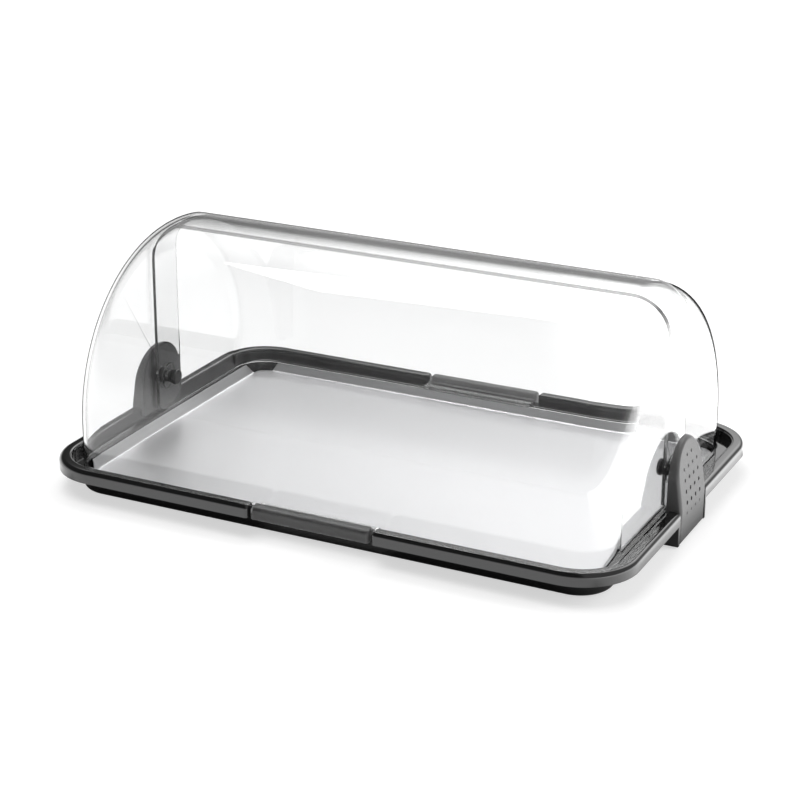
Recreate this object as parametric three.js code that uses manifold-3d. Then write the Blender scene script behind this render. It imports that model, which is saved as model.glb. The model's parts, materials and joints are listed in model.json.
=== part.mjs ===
// Roll top display case: a moulded base with a steel tray, and two clear hoods that swing on one pin axis.
// Millimetres, +Z up, +X to the right, -Y to the front. The origin lies under the middle, on the table.
import * as THREE from "three";
import { mergeVertices } from "three/addons/utils/BufferGeometryUtils.js";
import Module from "manifold-3d";

const wasm = await Module();
wasm.setup();

// Shared values: how far a cut runs past a face, the gap between fitted pieces, and the fineness of curves
const OVERRUN = 5;
const FIT_GAP = 0.3;
const CORNER_STEPS = 8;
const DRUM_STEPS = 36;
const EDGE_STEPS = 6;
const ROUND_SIDES = 24;
const DIMPLE_SIDES = 8;
const FILLET_STEPS = 4;

// Base: plan and heights of the bead, the ledge and the bowl
const BASE_LENGTH = 560;
const BASE_DEPTH = 377;
const BASE_CORNER = 53;
const FOOT_SHOW = 1;
const BEAD_UNDERSIDE = 20.8;
const BEAD_TOP = 32.6;
const BEAD_FILLET = 4.6;
const BEAD_WIDTH = 12;
const BEAD_INNER_FILLET = 2.5;
const LEDGE_TOP = 24;
const LEDGE_WIDTH = 10.2;
const END_LEDGE_WIDTH = 15;
const LEDGE_CORNER = 26;
const BOWL_TOP_INSET = 19;
const BOWL_FOOT_INSET = 22.7;
const BOWL_EDGE_RADIUS = 4;
const FLOOR_THICKNESS = 3;
const BOWL_INNER_DRAFT = 3;
const BEAD_WALL = 2.8;

// Base: ribs under the steel tray
const RIB_THICKNESS = 3;
const RIB_SIDE_GAP = 11.3;
const RIB_COUNT = 5;
const RIB_END_GAP = 20;

// Notches in the bead for the handle lips
const LIP_LENGTH = 115;
const LIP_SIDE_GAP = 2;

// Steel tray
const SHEET = 1;
const TRAY_RISE = 9;
const TRAY_FLAP_RUN_FRONT = 4.5;
const TRAY_FLAP_RUN_SIDE = 6.5;
const TRAY_EDGE_GAP = 0.8;
const TRAY_CORNER = 13;
const TRAY_FLAP_SLANT = 5;
const TRAY_FLAP_END_GAP = 1;

// Pivot axis of both hoods
const PIVOT_HEIGHT = 57.4;

// Hoods: the front one is the outer one
const HOOD_WALL = 3;
const HOOD_SET_BACK = 24.5;
const HOOD_END_SET_BACK = 19;
const HOOD_CORNER = 35;
const HOOD_SPACE = 1;
const HOOD_FLARE = 2;
const HOOD_REST_GAP = 0.4;
const FRONT_HOOD_PAST = 24;
const REAR_HOOD_PAST = 19;
const LOBE_MARGIN = 0.6;
const LIP_WALL = 2.6;
const LIP_SHORT = 0.4;
const LIP_WEB = 3;
const HUB_RADIUS = 13;
const HUB_HEIGHT = 1.4;

// Pins and their caps
const PIN_RADIUS = 5;
const PIN_HEAD_RADIUS = 7.5;
const PIN_HEAD_LENGTH = 2;
const SPIGOT_RADIUS = 2.5;
const SPIGOT_LENGTH = 5.5;
const CAP_COLLAR_RADIUS = 6.5;
const CAP_COLLAR_LENGTH = 2.6;
const CAP_NECK_RADIUS = 4.8;
const CAP_NECK_LENGTH = 1.8;
const CAP_HEAD_RADIUS = 7.6;
const CAP_HEAD_LENGTH = 3.6;
const CAP_ROUND = 1.4;

// Uprights at the ends, with their screws
const BRACKET_HALF_WIDTH = 32;
const BRACKET_DEPTH = 14;
const BRACKET_WALL = 2.6;
const BRACKET_ROUND = 3;
const BRACKET_LEAN_MIDDLE = 4;
const BRACKET_LEAN_TOP = 9;
const BRACKET_FLOOR_GAP = 0.8;
const PLATE_THICKNESS = 2.6;
const MOUNT_FOOT_HALF_WIDTH = 29;
const BOSS_RADIUS = 8.5;
const BOSS_GAP = 0.4;
const POCKET_SIDE_GAP = 0.8;
const POCKET_BACK_GAP = 0.6;
const SKIRT_THICKNESS = 3.3;
const DIMPLE_RADIUS = 1.5;
const DIMPLE_DEPTH = 1;
const DIMPLE_COLUMN_PITCH = 11;
const DIMPLE_ROW_PITCH = 10;
const DIMPLE_FIRST_ROW = 26;
const DIMPLE_FULL_ROWS = 5;
const DIMPLE_COLUMNS = 4;
const SCREW_RADIUS = 2;
const SCREW_HEAD_RADIUS = 3.6;
const SCREW_HEAD_HEIGHT = 2;
const SCREW_HALF_SPACING = 18;
const SCREW_HEIGHT = 10;
const SCREW_TIP_GAP = 1.2;
const SCREW_BORE_ROOM = 10;

// Rubber feet
const FOOT_RADIUS = 9;
const FOOT_SOCKET_DEPTH = 1.4;
const FOOT_INSET_X = 60;
const FOOT_INSET_Y = 50;

// Values worked out from the sizes above
const HALF_LENGTH = BASE_LENGTH / 2;
const HALF_DEPTH = BASE_DEPTH / 2;
const HALF_LIP = LIP_LENGTH / 2;
const FLOOR_TOP = FOOT_SHOW + FLOOR_THICKNESS;
const LEDGE_HALF_X = HALF_LENGTH - BEAD_WIDTH - END_LEDGE_WIDTH;
const LEDGE_HALF_Y = HALF_DEPTH - BEAD_WIDTH - LEDGE_WIDTH;
const TRAY_TOP_EDGE = LEDGE_TOP - TRAY_EDGE_GAP;
const TRAY_FLOOR_TOP = TRAY_TOP_EDGE - TRAY_RISE;
const TRAY_UNDERSIDE = TRAY_FLOOR_TOP - SHEET;
const RIB_SPACING = (2 * (LEDGE_HALF_Y - BOWL_INNER_DRAFT - RIB_SIDE_GAP)) / (RIB_COUNT - 1);
const HOOD_RADIUS = HALF_DEPTH - HOOD_SET_BACK;
const HOOD_END = HALF_LENGTH - HOOD_END_SET_BACK;
const BRACKET_INNER = HALF_LENGTH - BRACKET_DEPTH;
const SCREW_SEAT = LEDGE_HALF_X - BOWL_INNER_DRAFT - FIT_GAP;
const REAR_RADIUS = HOOD_RADIUS - HOOD_WALL - HOOD_SPACE;
const REAR_END = HOOD_END - HOOD_WALL - HOOD_SPACE;
const HOOD_LOW = LEDGE_TOP + HOOD_REST_GAP;
const LOBE_RADIUS = PIVOT_HEIGHT - LEDGE_TOP - LOBE_MARGIN;
const BRACKET_TOP = PIVOT_HEIGHT + BRACKET_HALF_WIDTH;
const PLATE_FACE = BRACKET_INNER - FIT_GAP;
const SHAFT_END = REAR_END - HOOD_WALL - HUB_HEIGHT - FIT_GAP;
const FULL_HOOD = [HOOD_RADIUS, HOOD_END, HOOD_CORNER];
const NESTED_HOOD = [REAR_RADIUS, REAR_END, HOOD_CORNER];

// Surface finishes of the pieces
const BLACK_GLOSS = { color: 0x141414, roughness: 0.16, metalness: 0 };
const STEEL = { color: 0xc9cacb, roughness: 0.3, metalness: 1 };
const CLEAR = { color: 0xf4f6f6, roughness: 0.04, metalness: 0, transparent: true, opacity: 0.3 };
const GREY_SATIN = { color: 0x5f5f60, roughness: 0.5, metalness: 0 };
const BLACK_SATIN = { color: 0x1c1c1c, roughness: 0.35, metalness: 0 };
const RUBBER = { color: 0x161616, roughness: 0.85, metalness: 0 };
const SCREW_STEEL = { color: 0xa9abad, roughness: 0.35, metalness: 1 };

// Turn a closed geometry into a solid
function solid(geometry) {
  const bare = geometry.clone();
  bare.deleteAttribute("normal");
  bare.deleteAttribute("uv");
  const merged = mergeVertices(bare, 1e-4);
  const vertProperties = new Float32Array(merged.attributes.position.array);
  const triVerts = new Uint32Array(merged.index.array);
  return new wasm.Manifold(new wasm.Mesh({ numProp: 3, vertProperties, triVerts }));
}

// Turn a solid back into a geometry
function geometryOf(body) {
  const { numProp, vertProperties, triVerts } = body.getMesh();
  const positions = new Float32Array((vertProperties.length / numProp) * 3);
  for (let i = 0; i < positions.length / 3; i += 1) {
    for (let k = 0; k < 3; k += 1) positions[i * 3 + k] = vertProperties[i * numProp + k];
  }
  const geometry = new THREE.BufferGeometry();
  geometry.setAttribute("position", new THREE.BufferAttribute(positions, 3));
  geometry.setIndex(Array.from(triVerts));
  return geometry;
}

// Join or cut several solids
const joined = (first, ...others) => others.reduce((sum, other) => sum.add(other), first);
const cut = (first, ...others) => others.reduce((rest, other) => rest.subtract(other), first);

// Faces between each ring of a stack and the next
function ringSides(rings) {
  const count = rings[0].length;
  const index = [];
  for (let r = 0; r + 1 < rings.length; r += 1) {
    for (let i = 0; i < count; i += 1) {
      const a = r * count + i;
      const b = r * count + ((i + 1) % count);
      index.push(a, b, b + count, a, b + count, a + count);
    }
  }
  return index;
}

// Close a stack of rings, each with as many points, into one body. Rings run counter-clockwise seen from
// the last one, and each end is closed by a fan from its middle.
function ringStack(rings) {
  const count = rings[0].length;
  const points = rings.flat();
  const index = ringSides(rings);
  const middle = (ring) => ring.reduce((sum, p) => sum.add(p), new THREE.Vector3()).divideScalar(count);
  const first = points.push(middle(rings[0])) - 1;
  const last = points.push(middle(rings.at(-1))) - 1;
  const top = (rings.length - 1) * count;
  for (let i = 0; i < count; i += 1) {
    const next = (i + 1) % count;
    index.push(first, next, i, last, top + i, top + next);
  }
  const geometry = new THREE.BufferGeometry().setFromPoints(points);
  geometry.setIndex(index);
  return geometry;
}

// A level rounded rectangle as a ring of points
function roundedRing(halfX, halfY, radius, z) {
  const points = [];
  for (let quarter = 0; quarter < 4; quarter += 1) {
    const signX = quarter === 0 || quarter === 3 ? 1 : -1;
    const signY = quarter < 2 ? 1 : -1;
    for (let step = 0; step <= CORNER_STEPS; step += 1) {
      const angle = ((quarter + step / CORNER_STEPS) * Math.PI) / 2;
      const x = signX * (halfX - radius) + radius * Math.cos(angle);
      const y = signY * (halfY - radius) + radius * Math.sin(angle);
      points.push(new THREE.Vector3(x, y, z));
    }
  }
  return points;
}

// A ring that follows the outline of the base at a distance inside it
function baseRing(inset, z) {
  return roundedRing(HALF_LENGTH - inset, HALF_DEPTH - inset, BASE_CORNER - inset, z);
}

// A box between two corners
function block(x0, x1, y0, y1, z0, z1) {
  const box = new THREE.BoxGeometry(x1 - x0, y1 - y0, z1 - z0);
  box.translate((x0 + x1) / 2, (y0 + y1) / 2, (z0 + z1) / 2);
  return solid(box);
}

// Lay local x, y and z along world Y, Z and X, which stands an extrusion along the length of the case
function alongX(geometry) {
  const axes = new THREE.Matrix4().makeBasis(
    new THREE.Vector3(0, 1, 0), new THREE.Vector3(0, 0, 1), new THREE.Vector3(1, 0, 0));
  return geometry.applyMatrix4(axes);
}

// Extrude an outline, given as points of y and z, from one x to another
function prismX(outline, x0, x1) {
  const settings = { depth: x1 - x0, bevelEnabled: false };
  const geometry = new THREE.ExtrudeGeometry(new THREE.Shape(outline), settings);
  return solid(alongX(geometry).translate(x0, 0, 0));
}

// Extrude an outline, given as points of x and z, between two values of y
function prismY(outline, y0, y1) {
  const settings = { depth: y1 - y0, bevelEnabled: false };
  const geometry = new THREE.ExtrudeGeometry(new THREE.Shape(outline), settings);
  return solid(geometry.rotateX(Math.PI / 2).translate(0, y1, 0));
}

// A turned body about the X axis at a height and a depth: profile points are radius and x
function turnedX(profile, y, z, sides = ROUND_SIDES) {
  const geometry = new THREE.LatheGeometry(profile, sides);
  geometry.rotateZ(-Math.PI / 2);
  return solid(geometry.translate(0, y, z));
}

// A plain round bar about the X axis
function barX(radius, x0, x1, y, z, sides = ROUND_SIDES) {
  return turnedX(latheOutline([[radius, x0], [radius, x1]]), y, z, sides);
}

// Close a list of radius and length pairs on the axis
function latheOutline(pairs) {
  const inner = pairs.map(([radius, length]) => new THREE.Vector2(radius, length));
  return [new THREE.Vector2(0, pairs[0][1]), ...inner, new THREE.Vector2(0, pairs.at(-1)[1])];
}

// Mirror a solid, with signs for x and y of which one is negative
function mirrored(body, signX, signY) {
  const geometry = geometryOf(body).scale(signX, signY, 1);
  const index = Array.from(geometry.index.array);
  for (let i = 0; i < index.length; i += 3) [index[i], index[i + 1]] = [index[i + 1], index[i]];
  geometry.setIndex(index);
  return solid(geometry);
}

// Bring a solid from the right end to a side, and from the front to the back
const toSide = (body, side) => (side > 0 ? body : mirrored(body, -1, 1));
const toBack = (body) => mirrored(body, 1, -1);

// How far the outside of the bowl lies inside the outline at a height
function bowlInset(z) {
  const share = (z - FOOT_SHOW) / (BEAD_UNDERSIDE - FOOT_SHOW);
  return BOWL_FOOT_INSET + (BOWL_TOP_INSET - BOWL_FOOT_INSET) * share;
}

// Outside of the base: bowl with a rounded lower edge, then the bead with its fillet
function baseOutside() {
  const rings = [];
  for (let step = 0; step <= FILLET_STEPS; step += 1) {
    const angle = (step / FILLET_STEPS) * (Math.PI / 2);
    const z = FOOT_SHOW + BOWL_EDGE_RADIUS * (1 - Math.cos(angle));
    rings.push(baseRing(bowlInset(z) + BOWL_EDGE_RADIUS * (1 - Math.sin(angle)), z));
  }
  rings.push(baseRing(BOWL_TOP_INSET, BEAD_UNDERSIDE));
  rings.push(baseRing(0, BEAD_UNDERSIDE));
  for (let step = 0; step <= FILLET_STEPS; step += 1) {
    const angle = (step / FILLET_STEPS) * (Math.PI / 2);
    const inset = BEAD_FILLET * (1 - Math.cos(angle));
    rings.push(baseRing(inset, BEAD_TOP - BEAD_FILLET * (1 - Math.sin(angle))));
  }
  return solid(ringStack(rings));
}

// Inside of the base: bowl, ledge and the inner wall of the bead with its fillet
function baseInside() {
  const bowlRing = (inset, z) =>
    roundedRing(LEDGE_HALF_X - inset, LEDGE_HALF_Y - inset, LEDGE_CORNER - inset, z);
  const rings = [
    bowlRing(BOWL_INNER_DRAFT, FLOOR_TOP),
    bowlRing(0, LEDGE_TOP),
    baseRing(BEAD_WIDTH, LEDGE_TOP),
  ];
  for (let step = 0; step <= FILLET_STEPS; step += 1) {
    const angle = (step / FILLET_STEPS) * (Math.PI / 2);
    const inset = BEAD_WIDTH - BEAD_INNER_FILLET * (1 - Math.cos(angle));
    rings.push(baseRing(inset, BEAD_TOP - BEAD_INNER_FILLET * (1 - Math.sin(angle))));
  }
  rings.push(baseRing(BEAD_WIDTH - BEAD_INNER_FILLET, BEAD_TOP + OVERRUN));
  return solid(ringStack(rings));
}

// Hollow on the underside of the bead, stopped beside the notches and the pockets
function beadHollow() {
  const low = BEAD_UNDERSIDE - OVERRUN;
  const high = BEAD_TOP - BEAD_WALL;
  const inner = BEAD_WIDTH - BEAD_WALL;
  const ring = cut(
    solid(ringStack([baseRing(BEAD_WALL, low), baseRing(BEAD_WALL, high)])),
    solid(ringStack([baseRing(inner, low - OVERRUN), baseRing(inner, high + OVERRUN)])));
  const stopX = HALF_LIP + LIP_SIDE_GAP + BEAD_WALL;
  const stopY = BRACKET_HALF_WIDTH + POCKET_SIDE_GAP + SKIRT_THICKNESS;
  return cut(
    ring,
    block(-stopX, stopX, -BASE_DEPTH, BASE_DEPTH, low - OVERRUN, high + OVERRUN),
    block(-BASE_LENGTH, BASE_LENGTH, -stopY, stopY, low - OVERRUN, high + OVERRUN));
}

// Gap in the bead at the front or back, where a handle lip lies
function beadNotch() {
  const halfX = HALF_LIP + LIP_SIDE_GAP;
  const back = -(HALF_DEPTH - BEAD_WIDTH);
  return block(-halfX, halfX, -HALF_DEPTH - OVERRUN, back, FOOT_SHOW, BEAD_TOP + OVERRUN);
}

// Pocket at the right end, where an upright stands
function endPocket() {
  const halfY = BRACKET_HALF_WIDTH + POCKET_SIDE_GAP;
  const inner = PLATE_FACE - POCKET_BACK_GAP;
  return block(inner, HALF_LENGTH + OVERRUN, -halfY, halfY, -OVERRUN, BEAD_TOP + OVERRUN);
}

// The two walls that stand beside an upright, from the bead down to the table
function pocketSkirts() {
  const inner = BRACKET_HALF_WIDTH + POCKET_SIDE_GAP;
  const outer = inner + SKIRT_THICKNESS;
  const start = HALF_LENGTH - bowlInset(BEAD_UNDERSIDE) - BEAD_WALL;
  const top = BEAD_UNDERSIDE + BEAD_WALL;
  return joined(
    block(start, HALF_LENGTH, inner, outer, FOOT_SHOW, top),
    block(start, HALF_LENGTH, -outer, -inner, FOOT_SHOW, top));
}

// Low ribs that carry the steel tray
function floorRibs() {
  const halfX = LEDGE_HALF_X - BOWL_INNER_DRAFT - RIB_END_GAP;
  const half = RIB_THICKNESS / 2;
  const low = FLOOR_TOP - FLOOR_THICKNESS / 2;
  const bodies = [];
  for (let i = 0; i < RIB_COUNT; i += 1) {
    const y = (i - (RIB_COUNT - 1) / 2) * RIB_SPACING;
    bodies.push(block(-halfX, halfX, y - half, y + half, low, TRAY_UNDERSIDE - FIT_GAP));
  }
  return joined(...bodies);
}

// Bore of a screw from inside the bowl to some x, at the front (-1) or the back (1) of an upright
function screwBore(end, x) {
  return barX(SCREW_RADIUS + FIT_GAP, SCREW_SEAT - SCREW_BORE_ROOM, x, end * SCREW_HALF_SPACING, SCREW_HEIGHT);
}

// Holes for the screws through the end wall, and sockets for the feet
function baseHoles() {
  const holes = [];
  for (const side of [-1, 1]) {
    for (const end of [-1, 1]) {
      const bore = toSide(screwBore(end, BRACKET_INNER), side);
      holes.push(bore, footShape(side, end, FIT_GAP, -OVERRUN));
    }
  }
  return joined(...holes);
}

function baseTray() {
  const shell = cut(baseOutside(), baseInside(), beadHollow());
  const notched = cut(shell, beadNotch(), toBack(beadNotch()));
  const skirts = joined(pocketSkirts(), toSide(pocketSkirts(), -1));
  const whole = cut(joined(notched, skirts), endPocket(), toSide(endPocket(), -1));
  return cut(joined(whole, floorRibs()), baseHoles());
}

// Flap at the right end of the tray: a sheet that rises outwards, with slanted ends
function trayFlap(fold, top, half) {
  const row = (x, reach, z) => [
    new THREE.Vector3(x - SHEET, -reach, z), new THREE.Vector3(x, -reach, z),
    new THREE.Vector3(x, reach, z), new THREE.Vector3(x - SHEET, reach, z),
  ];
  return ringStack([row(fold, half, TRAY_UNDERSIDE), row(top, half - TRAY_FLAP_SLANT, TRAY_TOP_EDGE)]);
}

// Steel tray: a flat floor with round corners, and a flap along each straight side
function displayTray() {
  const topX = LEDGE_HALF_X - TRAY_EDGE_GAP;
  const topY = LEDGE_HALF_Y - TRAY_EDGE_GAP;
  const foldX = topX - TRAY_FLAP_RUN_SIDE;
  const foldY = topY - TRAY_FLAP_RUN_FRONT;
  const ends = TRAY_CORNER + TRAY_FLAP_END_GAP;
  const endFlap = solid(trayFlap(foldX, topX, foldY - ends));
  const backFlap = solid(trayFlap(foldY, topY, foldX - ends).rotateZ(Math.PI / 2));
  const floor = solid(ringStack([
    roundedRing(foldX, foldY, TRAY_CORNER, TRAY_UNDERSIDE),
    roundedRing(foldX, foldY, TRAY_CORNER, TRAY_FLOOR_TOP),
  ]));
  return joined(floor, backFlap, toBack(backFlap), endFlap, toSide(endFlap, -1));
}

// Outline of a drum about the pins at a distance inside its surface, as points of y and z
function drumOutline(radius, inset) {
  const points = [];
  const drop = PIVOT_HEIGHT - FOOT_SHOW;
  points.push([-(radius - inset + HOOD_FLARE), -drop], [radius - inset + HOOD_FLARE, -drop]);
  for (let step = 0; step <= DRUM_STEPS; step += 1) {
    const angle = (step / DRUM_STEPS) * Math.PI;
    points.push([(radius - inset) * Math.cos(angle), (radius - inset) * Math.sin(angle)]);
  }
  return points;
}

// Full drum with rounded ends, from one end wall to the other
function drum(radius, end, corner) {
  const rings = [];
  const add = (x, inset) => {
    rings.push(drumOutline(radius, inset).map(([y, z]) => new THREE.Vector3(x, y, z + PIVOT_HEIGHT)));
  };
  for (let step = 0; step <= EDGE_STEPS; step += 1) {
    const angle = (step / EDGE_STEPS) * (Math.PI / 2);
    add(-end + corner * (1 - Math.sin(angle)), corner * (1 - Math.cos(angle)));
  }
  rings.reverse();
  for (let step = 0; step <= EDGE_STEPS; step += 1) {
    const angle = (step / EDGE_STEPS) * (Math.PI / 2);
    add(end - corner * (1 - Math.sin(angle)), corner * (1 - Math.cos(angle)));
  }
  return solid(ringStack(rings));
}

// Room inside the shell of a drum
function drumRoom(radius, end, corner) {
  return drum(radius - HOOD_WALL, end - HOOD_WALL, corner - HOOD_WALL);
}

// Side outline of a hood that lies to the front: it ends some way past the pins, and its low corner is
// round about them
function hoodSector(past) {
  const lobeStart = Math.asin(Math.min(past / LOBE_RADIUS, 1));
  const outline = [new THREE.Vector2(-HOOD_RADIUS - BEAD_WIDTH, HOOD_LOW)];
  for (let step = 0; step <= EDGE_STEPS; step += 1) {
    const angle = (step / EDGE_STEPS) * lobeStart;
    const z = PIVOT_HEIGHT - LOBE_RADIUS * Math.cos(angle);
    outline.push(new THREE.Vector2(LOBE_RADIUS * Math.sin(angle), z));
  }
  const high = PIVOT_HEIGHT + HOOD_RADIUS + OVERRUN;
  outline.push(new THREE.Vector2(past, high), new THREE.Vector2(-HOOD_RADIUS - BEAD_WIDTH, high));
  return prismX(outline, -HALF_LENGTH, HALF_LENGTH);
}

// Handle lip: a web from the low edge of the hood carries a hollow bead that closes the notch
function handleLip(radius) {
  const outer = -HALF_DEPTH;
  const inner = -(radius + HOOD_FLARE - HOOD_WALL / 2);
  const section = (inset, low, far) => {
    const points = [[far, low], [outer + inset, low]];
    for (let step = 0; step <= FILLET_STEPS; step += 1) {
      const angle = (step / FILLET_STEPS) * (Math.PI / 2);
      const round = BEAD_FILLET - Math.min(inset, BEAD_FILLET / 2);
      const y = outer + inset + round * (1 - Math.cos(angle));
      points.push([y, BEAD_TOP - inset - round * (1 - Math.sin(angle))]);
    }
    points.push([far, BEAD_TOP - inset]);
    return points.map(([y, z]) => new THREE.Vector2(y, z)).reverse();
  };
  const room = HALF_LIP - LIP_WALL;
  const ledgeStart = outer + BEAD_WIDTH - LIP_SIDE_GAP;
  const whole = prismX(section(0, BEAD_UNDERSIDE + LIP_SHORT, outer + BEAD_WIDTH), -HALF_LIP, HALF_LIP);
  const hollow = prismX(section(LIP_WALL, BEAD_UNDERSIDE - OVERRUN, ledgeStart), -room, room);
  const overLedge = block(-LIP_LENGTH, LIP_LENGTH, ledgeStart, 0, 0, HOOD_LOW);
  const web = block(-HALF_LIP, HALF_LIP, ledgeStart, inner, HOOD_LOW, HOOD_LOW + LIP_WEB);
  return joined(cut(whole, hollow, overLedge), web);
}

// Rings round the holes of a hood, on its outer or inner face
function hubs(x0, x1) {
  const right = barX(HUB_RADIUS, x0, x1, 0, PIVOT_HEIGHT);
  return joined(right, toSide(right, -1));
}

// Holes for the pins
function pinHoles() {
  const right = barX(PIN_RADIUS + FIT_GAP, SHAFT_END - OVERRUN, BRACKET_INNER, 0, PIVOT_HEIGHT);
  return joined(right, toSide(right, -1));
}

function frontHood() {
  const shell = drum(...FULL_HOOD).intersect(hoodSector(FRONT_HOOD_PAST));
  const hub = hubs(HOOD_END - HOOD_WALL / 2, HOOD_END + HUB_HEIGHT);
  const whole = joined(shell, handleLip(HOOD_RADIUS));
  return cut(joined(cut(whole, drumRoom(...FULL_HOOD)), hub), pinHoles());
}

function rearHood() {
  const shell = drum(...NESTED_HOOD).intersect(toBack(hoodSector(REAR_HOOD_PAST)));
  const hub = hubs(REAR_END - HOOD_WALL - HUB_HEIGHT, REAR_END - HOOD_WALL / 2);
  const whole = joined(shell, toBack(handleLip(REAR_RADIUS)));
  return cut(joined(cut(whole, drumRoom(...NESTED_HOOD)), hub), pinHoles());
}

// Outer face of an upright at a height: straight beside the bead, then leaning in towards its top
function bracketFace(z) {
  const rise = Math.max(z - BEAD_TOP, 0) / (BRACKET_TOP - BEAD_TOP);
  const bend = BRACKET_LEAN_TOP - BRACKET_LEAN_MIDDLE * 2;
  return HALF_LENGTH - BRACKET_LEAN_MIDDLE * 2 * rise - bend * rise * rise;
}

// Arched outline of an upright at a distance inside its edge, as points of y and z
function archOutline(inset, low) {
  const half = BRACKET_HALF_WIDTH - inset;
  const levels = [low + inset, BEAD_TOP / 2, BEAD_TOP, (BEAD_TOP + PIVOT_HEIGHT) / 2];
  const points = levels.map((z) => [half, z]);
  for (let step = 0; step <= 2 * CORNER_STEPS; step += 1) {
    const angle = (step / (2 * CORNER_STEPS)) * Math.PI;
    points.push([half * Math.cos(angle), PIVOT_HEIGHT + half * Math.sin(angle)]);
  }
  return [...points, ...levels.toReversed().map((z) => [-half, z])];
}

// Body of an upright between its inner plane and its leaning outer face, inset from its edge all round
function archBody(inset, innerX, faceInset, round) {
  const low = BRACKET_FLOOR_GAP;
  const rings = [archOutline(inset, low).map(([y, z]) => new THREE.Vector3(innerX, y, z))];
  for (let step = 0; step <= FILLET_STEPS; step += 1) {
    const angle = (step / FILLET_STEPS) * (Math.PI / 2);
    const edge = inset + round * (1 - Math.cos(angle));
    const back = faceInset + round * (1 - Math.sin(angle));
    rings.push(archOutline(edge, low).map(([y, z]) => new THREE.Vector3(bracketFace(z) - back, y, z)));
  }
  return solid(closeFlat(rings));
}

// Close a stack of rings whose points lie in pairs across the middle, row by row, so that the last ring's
// face follows its rows
function closeFlat(rings) {
  const count = rings[0].length;
  const points = rings.flat();
  const index = ringSides(rings);
  const top = (rings.length - 1) * count;
  for (let i = 0; i < Math.floor((count - 1) / 2); i += 1) {
    const [a, b, c, d] = [i, i + 1, count - 2 - i, count - 1 - i];
    index.push(b, a, d, top + a, top + b, top + d);
    if (b !== c) index.push(b, d, c, top + b, top + c, top + d);
  }
  const geometry = new THREE.BufferGeometry().setFromPoints(points);
  geometry.setIndex(index);
  return geometry;
}

// Dimples of the outer face: full rows of four, and two more above
function dimples() {
  const rows = [];
  for (let row = 0; row <= DIMPLE_FULL_ROWS; row += 1) {
    const columns = row < DIMPLE_FULL_ROWS ? DIMPLE_COLUMNS : DIMPLE_COLUMNS / 2;
    for (let column = 0; column < columns; column += 1) {
      const y = (column - (columns - 1) / 2) * DIMPLE_COLUMN_PITCH;
      const z = DIMPLE_FIRST_ROW + row * DIMPLE_ROW_PITCH;
      const face = bracketFace(z);
      rows.push(barX(DIMPLE_RADIUS, face - DIMPLE_DEPTH, face + OVERRUN, y, z, DIMPLE_SIDES));
    }
  }
  return joined(...rows);
}

function bracketHousing() {
  const outside = archBody(0, BRACKET_INNER, 0, BRACKET_ROUND);
  const room = archBody(BRACKET_WALL, BRACKET_INNER - OVERRUN, BRACKET_WALL, FIT_GAP);
  return cut(outside, room, dimples());
}

// Inner plate of an upright with its foot, which seats on the wall of the base, and the boss of the pin
function bracketMount() {
  const inset = BRACKET_WALL + FIT_GAP;
  const outline = archOutline(inset, BRACKET_FLOOR_GAP).map(([y, z]) => new THREE.Vector2(y, z));
  const plate = prismX(outline, PLATE_FACE, PLATE_FACE + PLATE_THICKNESS);
  const low = FOOT_SHOW + BRACKET_FLOOR_GAP;
  const high = BEAD_UNDERSIDE - 2 * FIT_GAP;
  const wall = (z) => HALF_LENGTH - bowlInset(z) + FIT_GAP;
  const seat = PLATE_FACE + FIT_GAP;
  const profile = [[wall(low), low], [seat, low], [seat, high], [wall(high), high]];
  const half = MOUNT_FOOT_HALF_WIDTH - inset;
  const foot = prismY(profile.map(([x, z]) => new THREE.Vector2(x, z)), -half, half);
  const boss = barX(BOSS_RADIUS, HOOD_END + HUB_HEIGHT + BOSS_GAP, seat, 0, PIVOT_HEIGHT);
  const shaft = barX(PIN_RADIUS + FIT_GAP, HOOD_END, HALF_LENGTH, 0, PIVOT_HEIGHT);
  const screws = [-1, 1].map((end) => screwBore(end, PLATE_FACE + PLATE_THICKNESS + OVERRUN));
  return cut(joined(plate, foot, boss), shaft, ...screws);
}

// Pin: a shaft through the plate and both hoods, a head behind the plate and a spigot for the cap
function pivotPin() {
  const head = PLATE_FACE + PLATE_THICKNESS + FIT_GAP;
  return turnedX(latheOutline([
    [SPIGOT_RADIUS, SHAFT_END - SPIGOT_LENGTH], [SPIGOT_RADIUS, SHAFT_END],
    [PIN_RADIUS, SHAFT_END], [PIN_RADIUS, head],
    [PIN_HEAD_RADIUS, head], [PIN_HEAD_RADIUS, head + PIN_HEAD_LENGTH],
  ]), 0, PIVOT_HEIGHT);
}

// Cap pushed on the spigot: collar, groove and rounded head
function pinCap() {
  const outer = SHAFT_END - FIT_GAP;
  const collar = outer - CAP_COLLAR_LENGTH;
  const neck = collar - CAP_NECK_LENGTH;
  const end = neck - CAP_HEAD_LENGTH;
  const body = turnedX(latheOutline([
    [CAP_HEAD_RADIUS - CAP_ROUND, end], [CAP_HEAD_RADIUS, end + CAP_ROUND],
    [CAP_HEAD_RADIUS, neck], [CAP_NECK_RADIUS, neck],
    [CAP_NECK_RADIUS, collar], [CAP_COLLAR_RADIUS, collar], [CAP_COLLAR_RADIUS, outer],
  ]), 0, PIVOT_HEIGHT);
  const depth = SHAFT_END - SPIGOT_LENGTH - FIT_GAP;
  const bore = barX(SPIGOT_RADIUS + FIT_GAP, depth, SHAFT_END + OVERRUN, 0, PIVOT_HEIGHT);
  return cut(body, bore);
}

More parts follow.
